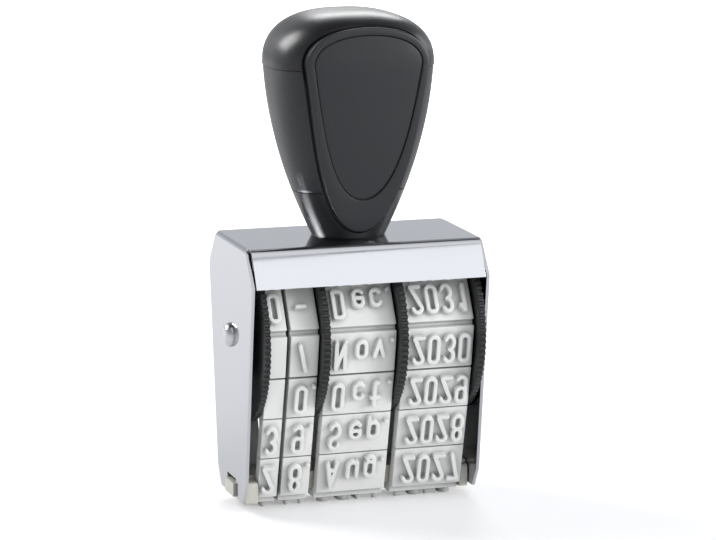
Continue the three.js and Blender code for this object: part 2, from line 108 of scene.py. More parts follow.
def everything(place: Vector, way: Vector) -> bool:
    """Pick every edge or face."""
    return True


class Axis(Enum):
    """The way a rod points."""

    X = (0.0, math.pi / 2, 0.0)
    Z = (0.0, 0.0, 0.0)


class SelectMode(Enum):
    """What edit mode picks: edges or faces."""

    EDGE = (False, True, False)
    FACE = (False, False, True)


class Solid:
    """A mesh in the making, in millimetres."""

    def __init__(self, obj: bpy.types.Object) -> None:
        """Take over an object.

        Args:
            obj: The mesh object to shape.
        """
        self.obj = obj

    @classmethod
    def box(cls, low: Vector, high: Vector) -> Solid:
        """Add a box between two corners.

        Args:
            low: The lowest corner.
            high: The highest corner.

        Returns:
            The new solid.
        """
        bpy.ops.mesh.primitive_cube_add(size=1, location=(low + high) / 2, scale=high - low)
        return cls(bpy.context.object).settle()

    @classmethod
    def rod(cls, axis: Axis, radius: float, low: Vector, length: float, sides: int = 64) -> Solid:
        """Add a rod that starts at a point and runs along an axis.

        Args:
            axis: The way it points.
            radius: Its radius.
            low: The middle of its first end.
            length: Its length.
            sides: How many sides it has.

        Returns:
            The new solid.
        """
        way = Vector((1, 0, 0)) if axis is Axis.X else Vector((0, 0, 1))
        bpy.ops.mesh.primitive_cylinder_add(
            vertices=sides, radius=radius, depth=length, location=low + way * length / 2, rotation=axis.value
        )
        return cls(bpy.context.object).settle()

    @classmethod
    def skin(cls, name: str, points: list[Vector], faces: list[tuple[int, ...]]) -> Solid:
        """Add a mesh out of points and faces.

        Args:
            name: The object's name while it is in the making.
            points: The points.
            faces: Each face's points, by their numbers.

        Returns:
            The new solid.
        """
        mesh = bpy.data.meshes.new(name)
        mesh.from_pydata(points, [], faces)
        obj = bpy.data.objects.new(name, mesh)
        bpy.context.collection.objects.link(obj)
        return cls(obj)

    def settle(self) -> Solid:
        """Apply place, turn and scale to the mesh, and return the solid."""
        self.pick()
        bpy.ops.object.transform_apply(location=True, rotation=True, scale=True)
        return self

    def pick(self) -> None:
        """Make this the only selected object, and the active one."""
        bpy.ops.object.select_all(action="DESELECT")
        self.obj.select_set(True)
        bpy.context.view_layer.objects.active = self.obj

    def edit(self, mode: SelectMode, test: Test) -> int:
        """Enter edit mode with what passes a test selected.

        Args:
            mode: Whether edges or faces are picked.
            test: Takes a place and a direction: a face's middle with its normal, or an edge's middle with its
                unit direction.

        Returns:
            How many were selected.
        """
        self.pick()
        mesh = self.obj.data
        for group in (mesh.vertices, mesh.edges, mesh.polygons):
            group.foreach_set("select", [False] * len(group))
        count = 0
        for item, place, way in self.items(mode):
            item.select = test(place, way)
            count += item.select
        bpy.context.tool_settings.mesh_select_mode = mode.value
        bpy.ops.object.mode_set(mode="EDIT")
        return count

    def items(self, mode: SelectMode) -> list[tuple]:
        """List the mesh's items with the place and direction that a test reads.

        Args:
            mode: Whether edges or faces are listed.

        Returns:
            Rows of an item, its place and its direction.
        """
        mesh = self.obj.data
        if mode is SelectMode.FACE:
            return [(face, face.center, face.normal) for face in mesh.polygons]
        rows = []
        for edge in mesh.edges:
            start, end = (mesh.vertices[i].co for i in edge.vertices)
            rows.append((edge, (start + end) / 2, (end - start).normalized()))
        return rows

    def face_outwards(self) -> None:
        """In edit mode, turn every face outwards."""
        bpy.ops.mesh.select_all(action="SELECT")
        bpy.ops.mesh.normals_make_consistent(inside=False)

    def leave(self) -> None:
        """Go back to object mode."""
        bpy.ops.object.mode_set(mode="OBJECT")

    def modify(self, kind: str, **settings: object) -> Solid:
        """Add a modifier and apply it.

        Args:
            kind: The modifier's type.
            **settings: Its settings.

        Returns:
            The solid.
        """
        self.pick()
        modifier = self.obj.modifiers.new(kind.lower(), kind)
        for name, value in settings.items():
            setattr(modifier, name, value)
        bpy.ops.object.modifier_apply(modifier=modifier.name)
        return self

    def round_edges(self, width: float, segments: int = 2, angle: float = 35) -> Solid:
        """Round every edge that is sharper than an angle.

        Args:
            width: The bevel's width.
            segments: How many steps it has.
            angle: The least angle, in degrees.

        Returns:
            The solid.
        """
        return self.modify(
            "BEVEL", width=width, segments=segments, limit_method="ANGLE", angle_limit=math.radians(angle),
            use_clamp_overlap=True, miter_outer="MITER_ARC",
        )

    def cut(self, tool: Solid) -> Solid:
        """Cut another solid away, which is then gone.

        Args:
            tool: The solid that is taken away.

        Returns:
            The solid.
        """
        self.modify("BOOLEAN", operation="DIFFERENCE", object=tool.obj, solver="EXACT")
        bpy.data.objects.remove(tool.obj)
        return self

    def copy(self, matrix: Matrix) -> Solid:
        """Copy the solid with its own mesh, moved by a matrix.

        Args:
            matrix: Where the copy goes. One that mirrors has its faces turned round.

        Returns:
            The copy.
        """
        obj = self.obj.copy()
        obj.data = self.obj.data.copy()
        bpy.context.collection.objects.link(obj)
        obj.data.transform(matrix)
        if matrix.determinant() < 0:
            obj.data.flip_normals()
        return Solid(obj)

    def join(self, others: list[Solid]) -> Solid:
        """Join other solids into this one.

        Args:
            others: The solids that it takes in.

        Returns:
            The solid.
        """
        self.pick()
        for other in others:
            other.obj.select_set(True)
        if others:
            bpy.ops.object.join()
        return self

    def remove(self) -> None:
        """Delete the object."""
        bpy.data.objects.remove(self.obj)

    def finish(
        self, name: str, finish: Finish, body: str, nodes: tuple[str, ...] = (),
        angle: float = 35, flat: bool = True,
    ) -> None:
        """Turn the solid into a finished piece in metres that rides on a body.

        Args:
            name: The piece's name.
            finish: What its surface is.
            body: The body that carries it.
            nodes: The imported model's nodes that it stands for.
            angle: Up to this angle, in degrees, neighbouring faces are shaded smooth.
            flat: Whether large faces are kept flat in the shading.
        """
        self.obj.scale = (MM, MM, MM)
        self.settle()
        bpy.ops.object.shade_smooth_by_angle(angle=math.radians(angle))
        if flat:
            self.modify("WEIGHTED_NORMAL", keep_sharp=True, weight=90)
        self.obj.name = name
        self.obj.data.name = name
        self.obj.data.materials.clear()
        self.obj.data.materials.append(finish.material())
        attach(self.obj, body)
        if nodes:
            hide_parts(*nodes)
        LOG.info("%s: %d faces on %s", name, len(self.obj.data.polygons), body)


def extrude(step: tuple[float, float, float]) -> None:
    """In edit mode, draw the selection out by a step."""
    bpy.ops.mesh.extrude_region_move(TRANSFORM_OT_translate={"value": step})


def near(value: float, target: float) -> bool:
    """Tell whether a length equals another, but for rounding."""
    return abs(value - target) < NEAR


def strip_faces(rows: int, count: int) -> list[tuple[int, ...]]:
    """List the faces between closed rows of points that follow one another.

    Args:
        rows: How many rows there are.
        count: How many points a row has.

    Returns:
        Each face's points, by their numbers.
    """
    faces = []
    for low in range(0, (rows - 1) * count, count):
        for i in range(count):
            j = (i + 1) % count
            faces.append((low + i, low + j, low + count + j, low + count + i))
    return faces


def add_node(tree: bpy.types.NodeTree, kind: str, **settings: object) -> bpy.types.Node:
    """Add a node to a tree.

    Args:
        tree: The tree.
        kind: The node's type.
        **settings: Its settings.

    Returns:
        The node.
    """
    node = tree.nodes.new(kind)
    for name, value in settings.items():
        setattr(node, name, value)
    return node


def link_all(tree: bpy.types.NodeTree, *links: tuple[bpy.types.NodeSocket, bpy.types.NodeSocket]) -> None:
    """Link pairs of sockets, each from an output to an input."""
    for start, end in links:
        tree.links.new(start, end)


class ShaderGroup:
    """A node group in the making, with named inputs and outputs."""

    def __init__(self, name: str, inputs: dict[str, float], outputs: tuple[str, ...]) -> None:
        """Start a group.

        Args:
            name: The group's name.
            inputs: Its inputs and their values.
            outputs: Its outputs.
        """
        self.tree = bpy.data.node_groups.new(name, "ShaderNodeTree")
        for label, value in inputs.items():
            socket = self.tree.interface.new_socket(label, in_out="INPUT", socket_type="NodeSocketFloat")
            socket.default_value = value
        for label in outputs:
            self.tree.interface.new_socket(label, in_out="OUTPUT", socket_type="NodeSocketFloat")
        self.enter = self.tree.nodes.new("NodeGroupInput")
        self.leave = self.tree.nodes.new("NodeGroupOutput")

    def node(self, kind: str, **settings: object) -> bpy.types.Node:
        """Add a node with its settings."""
        return add_node(self.tree, kind, **settings)

    def link(self, start: bpy.types.NodeSocket, end: bpy.types.NodeSocket) -> None:
        """Link two sockets."""
        self.tree.links.new(start, end)

    def make_mask(self, openness: bpy.types.NodeSocket) -> bpy.types.NodeTree:
        """Make the output Mask out of what a value lacks to 1, sharpened by the input Contrast.

        Args:
            openness: A value that is 1 on open, flat faces.

        Returns:
            The group's nodes.
        """
        lack = self.node("ShaderNodeMath", operation="SUBTRACT")
        lack.inputs[0].default_value = 1
        strength = self.node("ShaderNodeMath", operation="MULTIPLY", use_clamp=True)
        self.link(openness, lack.inputs[1])
        self.link(lack.outputs["Value"], strength.inputs[0])
        self.link(self.enter.outputs["Contrast"], strength.inputs[1])
        self.link(strength.outputs["Value"], self.leave.inputs["Mask"])
        return self.tree


def grain_group() -> bpy.types.NodeTree:
    """Build the shared grain: a fine noise for bump, and a broad one that varies the roughness.

    Returns:
        The group, with outputs Height and Roughness.
    """
    if "surface_grain" in bpy.data.node_groups:
        return bpy.data.node_groups["surface_grain"]
    group = ShaderGroup(
        "surface_grain",
        {"Fine Scale": 3000, "Broad Scale": 90, "Smooth": 0.3, "Rough": 0.4},
        ("Height", "Roughness"),
    )
    fine_detail, broad_detail = 3, 4
    usual_low, usual_high = 0.3, 0.7
    place = group.node("ShaderNodeTexCoord")
    fine = group.node("ShaderNodeTexNoise")
    fine.inputs["Detail"].default_value = fine_detail
    broad = group.node("ShaderNodeTexNoise")
    broad.inputs["Detail"].default_value = broad_detail
    spread = group.node("ShaderNodeMapRange")
    spread.inputs["From Min"].default_value = usual_low
    spread.inputs["From Max"].default_value = usual_high
    for noise, label in ((fine, "Fine Scale"), (broad, "Broad Scale")):
        group.link(place.outputs["Object"], noise.inputs["Vector"])
        group.link(group.enter.outputs[label], noise.inputs["Scale"])
    group.link(broad.outputs["Fac"], spread.inputs["Value"])
    group.link(group.enter.outputs["Smooth"], spread.inputs["To Min"])
    group.link(group.enter.outputs["Rough"], spread.inputs["To Max"])
    group.link(fine.outputs["Fac"], group.leave.inputs["Height"])
    group.link(spread.outputs["Result"], group.leave.inputs["Roughness"])
    return group.tree


def edge_group() -> bpy.types.NodeTree:
    """Build the shared edge mask: 1 on rounded edges, which are painted lighter as wear and as a painted
    highlight, 0 on flat faces.

    Returns:
        The group, with the output Mask.
    """
    if "edge_highlight_and_wear" in bpy.data.node_groups:
        return bpy.data.node_groups["edge_highlight_and_wear"]
    group = ShaderGroup("edge_highlight_and_wear", {"Radius": 0.0002, "Contrast": 6}, ("Mask",))
    softened = group.node("ShaderNodeBevel", samples=4)
    surface = group.node("ShaderNodeNewGeometry")
    facing = group.node("ShaderNodeVectorMath", operation="DOT_PRODUCT")
    group.link(group.enter.outputs["Radius"], softened.inputs["Radius"])
    group.link(softened.outputs["Normal"], facing.inputs[0])
    group.link(surface.outputs["Normal"], facing.inputs[1])
    return group.make_mask(facing.outputs["Value"])


def recess_group() -> bpy.types.NodeTree:
    """Build the shared painted shade mask: 1 deep in corners, where ambient occlusion paints the colour
    darker as shade, 0 on open faces.

    Returns:
        The group, with the output Mask.
    """
    if "recess_painted_shade" in bpy.data.node_groups:
        return bpy.data.node_groups["recess_painted_shade"]
    group = ShaderGroup("recess_painted_shade", {"Distance": 0.001, "Contrast": 1.4}, ("Mask",))
    open_sky = group.node("ShaderNodeAmbientOcclusion", samples=8)
    group.link(group.enter.outputs["Distance"], open_sky.inputs["Distance"])
    return group.make_mask(open_sky.outputs["AO"])


class ColourMix:
    """A mix of two colours, whose first colour is left free."""

    def __init__(self, tree: bpy.types.NodeTree, mask: bpy.types.NodeSocket, colour: Colour) -> None:
        """Add the mix, which goes to a colour where a mask is 1.

        Args:
            tree: The material's nodes.
            mask: The mask.
            colour: The colour at mask 1.
        """
        mix = add_node(tree, "ShaderNodeMix", data_type="RGBA")
        sockets = {socket.identifier: socket for socket in (*mix.inputs, *mix.outputs)}
        sockets["B_Color"].default_value = (*colour, 1)
        tree.links.new(mask, sockets["Factor_Float"])
        self.first = sockets["A_Color"]
        self.result = sockets["Result_Color"]


@dataclass(frozen=True)
class Finish:
    """One finish: its colours, its gloss, its grain, its edge wear with a painted highlight, and the painted
    shade in its recesses. Colours are linear.
    """

    name: str
    slot: str
    colour: Colour
    # Edge wear and painted highlight: the lighter colour on rounded edges.
    edge_colour: Colour
    # Painted shade: the darker colour in recesses, where ambient occlusion is strong.
    recess_colour: Colour
    smooth: float
    rough: float
    metallic: float = 0.0
    fine_scale: float = 3000.0
    broad_scale: float = 90.0
    bump: float = 0.1
    bump_depth: float = 0.00002
    # The painted shade's reach in metres and its strength, then the strength of the edge wear and painted
    # highlight.
    recess_reach: float = 0.001
    recess_contrast: float = 1.0
    edge_contrast: float = 3.0
    specular: float = 0.5

    def material(self) -> bpy.types.Material:
        """Build the material, or find the one that is already there.

        Returns:
            The material.
        """
        if self.name in bpy.data.materials:
            return bpy.data.materials[self.name]
        material = bpy.data.materials.new(self.name)
        material.use_nodes = True
        tree = material.node_tree
        shader = tree.nodes["Principled BSDF"]
        shader.inputs["Metallic"].default_value = self.metallic
        shader.inputs["Specular IOR Level"].default_value = self.specular
        grain = self.place_group(tree, grain_group(), {
            "Fine Scale": self.fine_scale, "Broad Scale": self.broad_scale,
            "Smooth": self.smooth, "Rough": self.rough,
        })
        # Rounded edges are painted lighter, partly as wear and partly as a painted highlight.
        highlight_and_wear_node = self.place_group(tree, edge_group(), {"Contrast": self.edge_contrast})
        # Recesses are painted darker by ambient occlusion, as painted shade.
        painted_shade_node = self.place_group(tree, recess_group(), {
            "Distance": self.recess_reach, "Contrast": self.recess_contrast,
        })
        edges = ColourMix(tree, highlight_and_wear_node.outputs["Mask"], self.edge_colour)
        edges.first.default_value = (*self.colour, 1)
        recesses = ColourMix(tree, painted_shade_node.outputs["Mask"], self.recess_colour)
        tree.links.new(edges.result, recesses.first)
        tree.links.new(recesses.result, shader.inputs["Base Color"])
        tree.links.new(grain.outputs["Roughness"], shader.inputs["Roughness"])
        bump = tree.nodes.new("ShaderNodeBump")
        bump.inputs["Strength"].default_value = self.bump
        bump.inputs["Distance"].default_value = self.bump_depth
        tree.links.new(grain.outputs["Height"], bump.inputs["Height"])
        tree.links.new(bump.outputs["Normal"], shader.inputs["Normal"])
        return material

    @staticmethod
    def place_group(
        tree: bpy.types.NodeTree, group: bpy.types.NodeTree, values: dict[str, float]
    ) -> bpy.types.Node:
        """Place a shared group in a material.

        Args:
            tree: The material's nodes.
            group: The shared group.
            values: Its values in this material.

        Returns:
            The group's node.
        """
        node = add_node(tree, "ShaderNodeGroup", node_tree=group)
        for label, value in values.items():
            node.inputs[label].default_value = value
        return node


# In each finish the second colour is edge wear with a painted highlight, and the third is the painted shade
# in recesses.
CHROME = Finish(
    "dressed_chrome_plate", "chrome_plate", (0.56, 0.57, 0.6), (0.62, 0.63, 0.65), (0.42, 0.42, 0.44),
    smooth=0.05, rough=0.11, metallic=1, fine_scale=700, broad_scale=60, bump=0.04, recess_contrast=0.5,
)
RIVET = Finish(
    "dressed_rivet_steel", "rivet_steel", (0.6, 0.6, 0.62), (0.68, 0.68, 0.69), (0.3, 0.3, 0.31),
    smooth=0.14, rough=0.24, metallic=1, fine_scale=1500, bump=0.08,
)
SPRING = Finish(
    "dressed_spring_steel", "spring_steel", (0.4, 0.41, 0.43), (0.55, 0.55, 0.57), (0.2, 0.2, 0.21),
    smooth=0.28, rough=0.4, metallic=1, fine_scale=1500, bump=0.1,
)
WHEEL = Finish(
    "dressed_wheel_plastic", "wheel_plastic",
    (0.034, 0.035, 0.0365), (0.042, 0.043, 0.045), (0.004, 0.004, 0.0045),
    smooth=0.45, rough=0.58, fine_scale=5000, bump=0.25, specular=0.42,
)
RUBBER = Finish(
    "dressed_band_rubber", "band_rubber", (0.8, 0.805, 0.78), (0.84, 0.845, 0.82), (0.33, 0.34, 0.34),
    smooth=0.5, rough=0.62, fine_scale=2600, bump=0.2, recess_contrast=1.1,
)
PLATEN = Finish(
    "dressed_platen_plastic", "platen_plastic", (0.57, 0.56, 0.5), (0.64, 0.63, 0.57), (0.26, 0.25, 0.22),
    smooth=0.42, rough=0.55, fine_scale=2400, bump=0.15,
)
GLOSS = Finish(
    "dressed_gloss_black", "gloss_black",
    (0.007, 0.0072, 0.008), (0.014, 0.014, 0.015), (0.003, 0.003, 0.003),
    smooth=0.3, rough=0.36, fine_scale=900, bump=0.03,
)
SATIN = Finish(
    "dressed_satin_black", "satin_black",
    (0.013, 0.0145, 0.017), (0.03, 0.032, 0.035), (0.005, 0.0055, 0.006),
    smooth=0.36, rough=0.44, fine_scale=6000, bump=0.3, specular=0.46,
)


def arc(centre: Point, radii: Point, start: float, end: float, steps: int = 10) -> list[Point]:
    """List points along an ellipse.

    Args:
        centre: The ellipse's centre.
        radii: Its radii.
        start: The first angle, in degrees.
        end: The last angle, in degrees.
        steps: How many steps lie between them.

    Returns:
        The points, both ends with them.
    """
    angles = [math.radians(start + (end - start) * i / steps) for i in range(steps + 1)]
    return [(centre[0] + radii[0] * math.cos(a), centre[1] + radii[1] * math.sin(a)) for a in angles]


@dataclass(frozen=True)
class TypeFace:
    """The raised type: condensed characters of one stroke width with round ends. Y is up, 0 the base line."""

    height: float = 5.0
    width: float = 2.15
    stroke: float = 0.7
    rise: float = 1.0
    sink: float = 0.05
    crown: float = 0.05
    crown_steps: tuple[Point, ...] = ((0.4, 0.65), (0.6, 0.35))
    taper: float = 0.04
    weld: float = 0.03
    tolerance: float = 0.0001
    small_share: float = 0.6
    bowl_share: float = 0.55
    descent: float = 0.75
    dot: float = 0.02
    tall_ring: float = 1.3
    sharpest_turn: float = 0.5
    cap_steps: int = 6
    bowl_steps: int = 14

    @property
    def span(self) -> float:
        """The width between the middle lines of a character's two sides."""
        return self.width - self.stroke

    @property
    def top(self) -> float:
        """The height between the middle lines of a capital's foot and head."""
        return self.height - self.stroke

    def strokes(self, character: str) -> list[list[Point]]:
        """List a character's strokes by their middle lines.

        Args:
            character: The character.

        Returns:
            The strokes, each a list of points. The base line's own stroke lies at Y = 0.
        """
        w, h = self.span, self.top
        r = w / 2
        x = h * self.small_share
        low = -self.descent
        bowl_top = self.bowl_share * h
        fine = self.bowl_steps
        shapes: dict[str, list[list[Point]]] = {
            "0": self.stadium(0, h),
            "O": self.stadium(0, h),
            "1": [[(0.25 * w, 0.78 * h), (0.7 * w, h)], [(0.7 * w, h), (0.7 * w, 0)]],
            "2": [arc((r, h - r), (r, r), 175, -35, fine) + [(0, 0)], [(0, 0), (w, 0)]],
            "3": [
                arc((r, 0.76 * h), (r, 0.24 * h), 150, -80, fine),
                arc((r, 0.26 * h), (r, 0.26 * h), 80, -150, fine),
            ],
            "4": [
                [(0.62 * w, h), (0, 0.28 * h)], [(0, 0.28 * h), (w, 0.28 * h)],
                [(0.74 * w, bowl_top), (0.74 * w, 0)],
            ],
            "5": [
                [(0.95 * w, h), (0.08 * w, h)], [(0.08 * w, h), (0.03 * w, bowl_top)],
                [(0.03 * w, bowl_top)] + arc((r, 0.32 * h), (r, 0.32 * h), 110, -150, fine),
            ],
            "6": [*self.ring(0, bowl_top), arc((r, h - r), (r, r), 30, 180) + [(0, bowl_top / 2)]],
            "7": [[(0, h), (w, h)], [(w, h), (0.3 * w, 0)]],
            "8": [*self.ring(0, 0.54 * h), *self.ring(0.54 * h, h, 0.88)],
            "9": [
                *self.ring(h - bowl_top, h), arc((r, r), (r, r), -150, 0) + [(w, h - bowl_top / 2)],
            ],
            "-": [[(0.05 * w, 0.48 * h), (0.95 * w, 0.48 * h)]],
            "/": [[(0.1 * w, 0), (0.8 * w, h)]],
            ".": [[(0, 0), (self.dot, 0)]],
            "A": [[(0, 0), (r, h)], [(r, h), (w, 0)], [(0.18 * w, 0.27 * h), (0.82 * w, 0.27 * h)]],
            "D": [
                [(0, 0), (0, h)], [(0, h)] + arc((w - r, h - r), (r, r), 90, 0) + [(w, r)],
                arc((w - r, r), (r, r), 0, -90) + [(0, 0)],
            ],
            "F": [[(0, 0), (0, h)], [(0, h), (w, h)], [(0, bowl_top), (0.8 * w, bowl_top)]],
            "J": [[(w, h), (w, r)] + arc((r, r), (r, r), 0, -170)],
            "M": [
                [(0, 0), (0, h)], [(0, h), (0.58 * w, 0.35 * h)], [(0.58 * w, 0.35 * h), (1.16 * w, h)],
                [(1.16 * w, h), (1.16 * w, 0)],
            ],
            "N": [[(0, 0), (0, h)], [(0, h), (w, 0)], [(w, 0), (w, h)]],
            "S": [
                arc((r, 0.76 * h), (r, 0.24 * h), 25, 265, fine),
                arc((r, 0.26 * h), (r, 0.26 * h), 85, -155, fine),
            ],
            "a": [*self.ring(0, x), [(w, x), (w, 0)]],
            "b": [*self.ring(0, x), [(0, h), (0, 0)]],
            "c": [arc((r, x - r), (r, r), 25, 180) + [(0, r)], arc((r, r), (r, r), 180, 335)],
            "e": [
                [(0, x / 2), (w, x / 2)], [(w, x / 2)] + arc((r, x - r), (r, r), 0, 180) + [(0, x / 2)],
                [(0, x / 2)] + arc((r, r), (r, r), 180, 330),
            ],
            "g": [*self.ring(0, x), [(w, x), (w, low + r)] + arc((r, low + r), (r, r), 0, -140)],
            "l": [[(0, h), (0, 0)]],
            "n": [[(0, 0), (0, x)], arc((r, x - r), (r, r), 180, 0) + [(w, 0)]],
            "o": self.ring(0, x),
            "p": [*self.ring(0, x), [(0, x), (0, low)]],
            "r": [[(0, 0), (0, x)], arc((0.8 * w, x - r), (0.8 * w, r), 180, 60)],
            "t": [
                [(0.3 * w, 0.92 * h), (0.3 * w, 0.5 * r)]
                + arc((0.3 * w + 0.5 * r, 0.5 * r), (0.5 * r, 0.5 * r), 180, 290),
                [(0, x), (0.85 * w, x)],
            ],
            "u": [[(0, x), (0, r)] + arc((r, r), (r, r), 180, 360), [(w, x), (w, 0)]],
            "v": [[(0, x), (r, 0)], [(r, 0), (w, x)]],
            "y": [[(0, x), (r, 0)], [(w, x), (0.3 * w, low)]],
        }
        return shapes[character]

    def stadium(self, low: float, high: float) -> list[list[Point]]:
        """Make a closed ring with straight sides, as two strokes that share their ends.

        Args:
            low: The height of its foot.
            high: The height of its head.

        Returns:
            The two strokes.
        """
        r = self.span / 2
        left = arc((r, high - r), (r, r), 90, 180) + arc((r, low + r), (r, r), 180, 270)
        right = arc((r, low + r), (r, r), 270, 360) + arc((r, high - r), (r, r), 0, 90)
        return [left, right]

    def ring(self, low: float, high: float, share: float = 1.0) -> list[list[Point]]:
        """Make a closed ring: straight sides where it is tall, an ellipse where it is low.

        Args:
            low: The height of its foot.
            high: The height of its head.
            share: Its width as a share of the span.

        Returns:
            The two strokes.
        """
        r = self.span / 2
        if high - low > self.tall_ring * self.span and share == 1:
            return self.stadium(low, high)
        middle = (r, (low + high) / 2)
        radii = (r * share, (high - low) / 2)
        return [arc(middle, radii, start, start + 180, self.bowl_steps) for start in (90, -90)]

    def outline(self, points: list[Point]) -> list[Vector]:
        """Give a stroke its width and its round ends.

        Args:
            points: The stroke's middle line.

        Returns:
            The outline, anticlockwise.
        """
        half = self.stroke / 2
        line = [Vector(points[0])]
        for point in points[1:]:
            if (Vector(point) - line[-1]).length > NEAR:
                line.append(Vector(point))
        ways = [(b - a).normalized() for a, b in zip(line, line[1:])]
        sides = []
        for i, point in enumerate(line):
            before, after = ways[max(i - 1, 0)], ways[min(i, len(ways) - 1)]
            way = (before + after).normalized()
            reach = half / max(way.dot(after), self.sharpest_turn)
            sides.append((point, Vector((-way.y, way.x)) * reach))
        right = [point - side for point, side in sides]
        left = [point + side for point, side in reversed(sides)]
        return right + self.round_end(line[-1], ways[-1]) + left + self.round_end(line[0], -ways[0])

    def round_end(self, place: Vector, way: Vector) -> list[Vector]:
        """List the points of a stroke's round end, without its first and last.

        Args:
            place: The end of the middle line.
            way: The direction in which the stroke ends.

        Returns:
            The points, anticlockwise.
        """
        start = math.atan2(way.y, way.x) - math.pi / 2
        angles = [start + math.pi * i / self.cap_steps for i in range(1, self.cap_steps)]
        half = self.stroke / 2
        return [place + Vector((math.cos(a), math.sin(a))) * half for a in angles]

    def model(self, character: str) -> Solid:
        """Model a character as one raised body with a rounded crown, its foot sunk a little.

        Args:
            character: The character.

        Returns:
            The solid, lying on Z = 0, its lower left corner at X = 0 and Y = 0.
        """
        corners: list[Vector] = []
        outlines: list[list[int]] = []
        for points in self.strokes(character):
            outline = self.outline(points)
            outlines.append(list(range(len(corners), len(corners) + len(outline))))
            corners.extend(outline)
        places, _, faces, _, _, origins = delaunay_2d_cdt(corners, [], outlines, 0, self.tolerance)
        kept = [face for face, origin in zip(faces, origins) if origin]
        half = self.stroke / 2
        solid = Solid.skin("character", [Vector((p.x + half, p.y + half, -self.sink)) for p in places], kept)
        solid.edit(SelectMode.FACE, everything)
        bpy.ops.mesh.remove_doubles(threshold=self.weld)
        bpy.ops.mesh.delete_loose()
        bpy.ops.mesh.select_all(action="SELECT")
        extrude((0, 0, 2 * self.sink))
        solid.face_outwards()
        solid.leave()
        solid.edit(SelectMode.FACE, lambda place, way: way.z > ALONG and place.z > 0)
        steps = [(self.taper, self.rise - self.sink - self.crown)]
        steps += [(inward * self.crown, upward * self.crown) for inward, upward in self.crown_steps]
        for inward, upward in steps:
            bpy.ops.mesh.inset(thickness=inward, depth=upward, use_even_offset=False)
        solid.leave()
        return solid


@dataclass
class Belt:
    """The loop of thirteen links that every type band follows, in the plane of Y and Z."""

    axle_z: float
    pitch: float = 7.0
    on_drum: int = 6
    per_run: int = 3
    drum_sides: int = 9
    top_link: int = 1
    thickness: float = 1.0
    plate_height: float = 0.9
    plate_gap: float = 0.15

    def corners(self) -> list[Vector]:
        """List the corners of the loop's middle layer, over the drum from the front and down the back.

        Returns:
            The corners, across and up.
        """
        turn = 2 * math.pi / self.drum_sides
        radius = self.pitch / 2 / math.sin(turn / 2)
        corners = []
        for i in range(self.on_drum + 1):
            angle = math.pi / 2 + (self.on_drum / 2 - i) * turn
            corners.append(Vector((radius * math.cos(angle), self.axle_z + radius * math.sin(angle))))
        reach, high = corners[-1]
        run = self.per_run * self.pitch
        fall = math.sqrt(run**2 - (reach - self.pitch / 2) ** 2)
        foot = Vector((self.pitch / 2, high - fall))
        back = [corners[-1].lerp(foot, i / self.per_run) for i in range(1, self.per_run + 1)]
        front = [Vector((-corner.x, corner.y)) for corner in reversed(back)]
        return corners + back + front

    def links(self) -> list[Matrix]:
        """List each link's place: X along the axle, Y the way that type stands, Z out of the band.

        Returns:
            Matrices from a link's own millimetres to the stamp's, from the first link on the drum.
        """
        corners = self.corners()
        places = []
        for start, end in zip(corners, corners[1:] + corners[:1]):
            along = (end - start).normalized()
            middle = (start + end) / 2
            place = Matrix.Identity(4)
            place.col[1] = (0, -along.x, -along.y, 0)
            place.col[2] = (0, -along.y, along.x, 0)
            place.col[3] = (0, middle.x, middle.y, 1)
            places.append(place)
        return places


@dataclass
class TypeBand:
    """A pale rubber band: a belt with a plate for each link and a line of raised type on each plate."""

    node: str
    lines: tuple[str, ...]
    columns: tuple[float, ...]
    belt: Belt
    face: TypeFace
    left: float
    right: float
    plate_round: float = 0.14
    belt_round: float = 0.1

    def make(self, characters: dict[str, Solid]) -> None:
        """Build the band.

        Args:
            characters: The modelled characters, which are copied.
        """
        solids = [self.make_belt()]
        plate = self.make_plate()
        foot = self.belt.thickness / 2 + self.belt.plate_height
        for link, line in zip(self.in_reading_order(), self.lines):
            solids.append(plate.copy(link))
            for character, column in zip(line, self.columns):
                place = Matrix.Translation((column, -self.face.height / 2, foot))
                solids.append(characters[character].copy(link @ place))
        plate.remove()
        solids[0].join(solids[1:]).finish(f"{self.node}_rubber", RUBBER, "stamp", (self.node,))

    def in_reading_order(self) -> list[Matrix]:
        """List the links from the top line at the front, down to the printing line and up the back."""
        links = self.belt.links()
        return [links[self.belt.top_link - i] for i in range(len(links))]

    def make_belt(self) -> Solid:
        """Model the belt as a closed strip with a wall.

        Returns:
            The belt.
        """
        corners = self.belt.corners()
        bpy.ops.mesh.primitive_circle_add(vertices=len(corners), radius=self.belt.pitch)
        solid = Solid(bpy.context.object)
        for vertex, corner in zip(solid.obj.data.vertices, reversed(corners)):
            vertex.co = (self.left, corner.x, corner.y)
        solid.edit(SelectMode.EDGE, everything)
        extrude((self.right - self.left, 0, 0))
        solid.face_outwards()
        solid.leave()
        solid.modify("SOLIDIFY", thickness=self.belt.thickness, offset=0, use_even_offset=True)
        return solid.round_edges(self.belt_round)

    def make_plate(self) -> Solid:
        """Model the plate of one link, in the link's own place.

        Returns:
            The plate.
        """
        half = (self.belt.pitch - self.belt.plate_gap) / 2
        foot = self.belt.thickness / 2
        sunk = foot - self.belt.plate_gap
        top = foot + self.belt.plate_height
        plate = Solid.box(Vector((self.left, -half, sunk)), Vector((self.right, half, top)))
        return plate.round_edges(self.plate_round, 3)


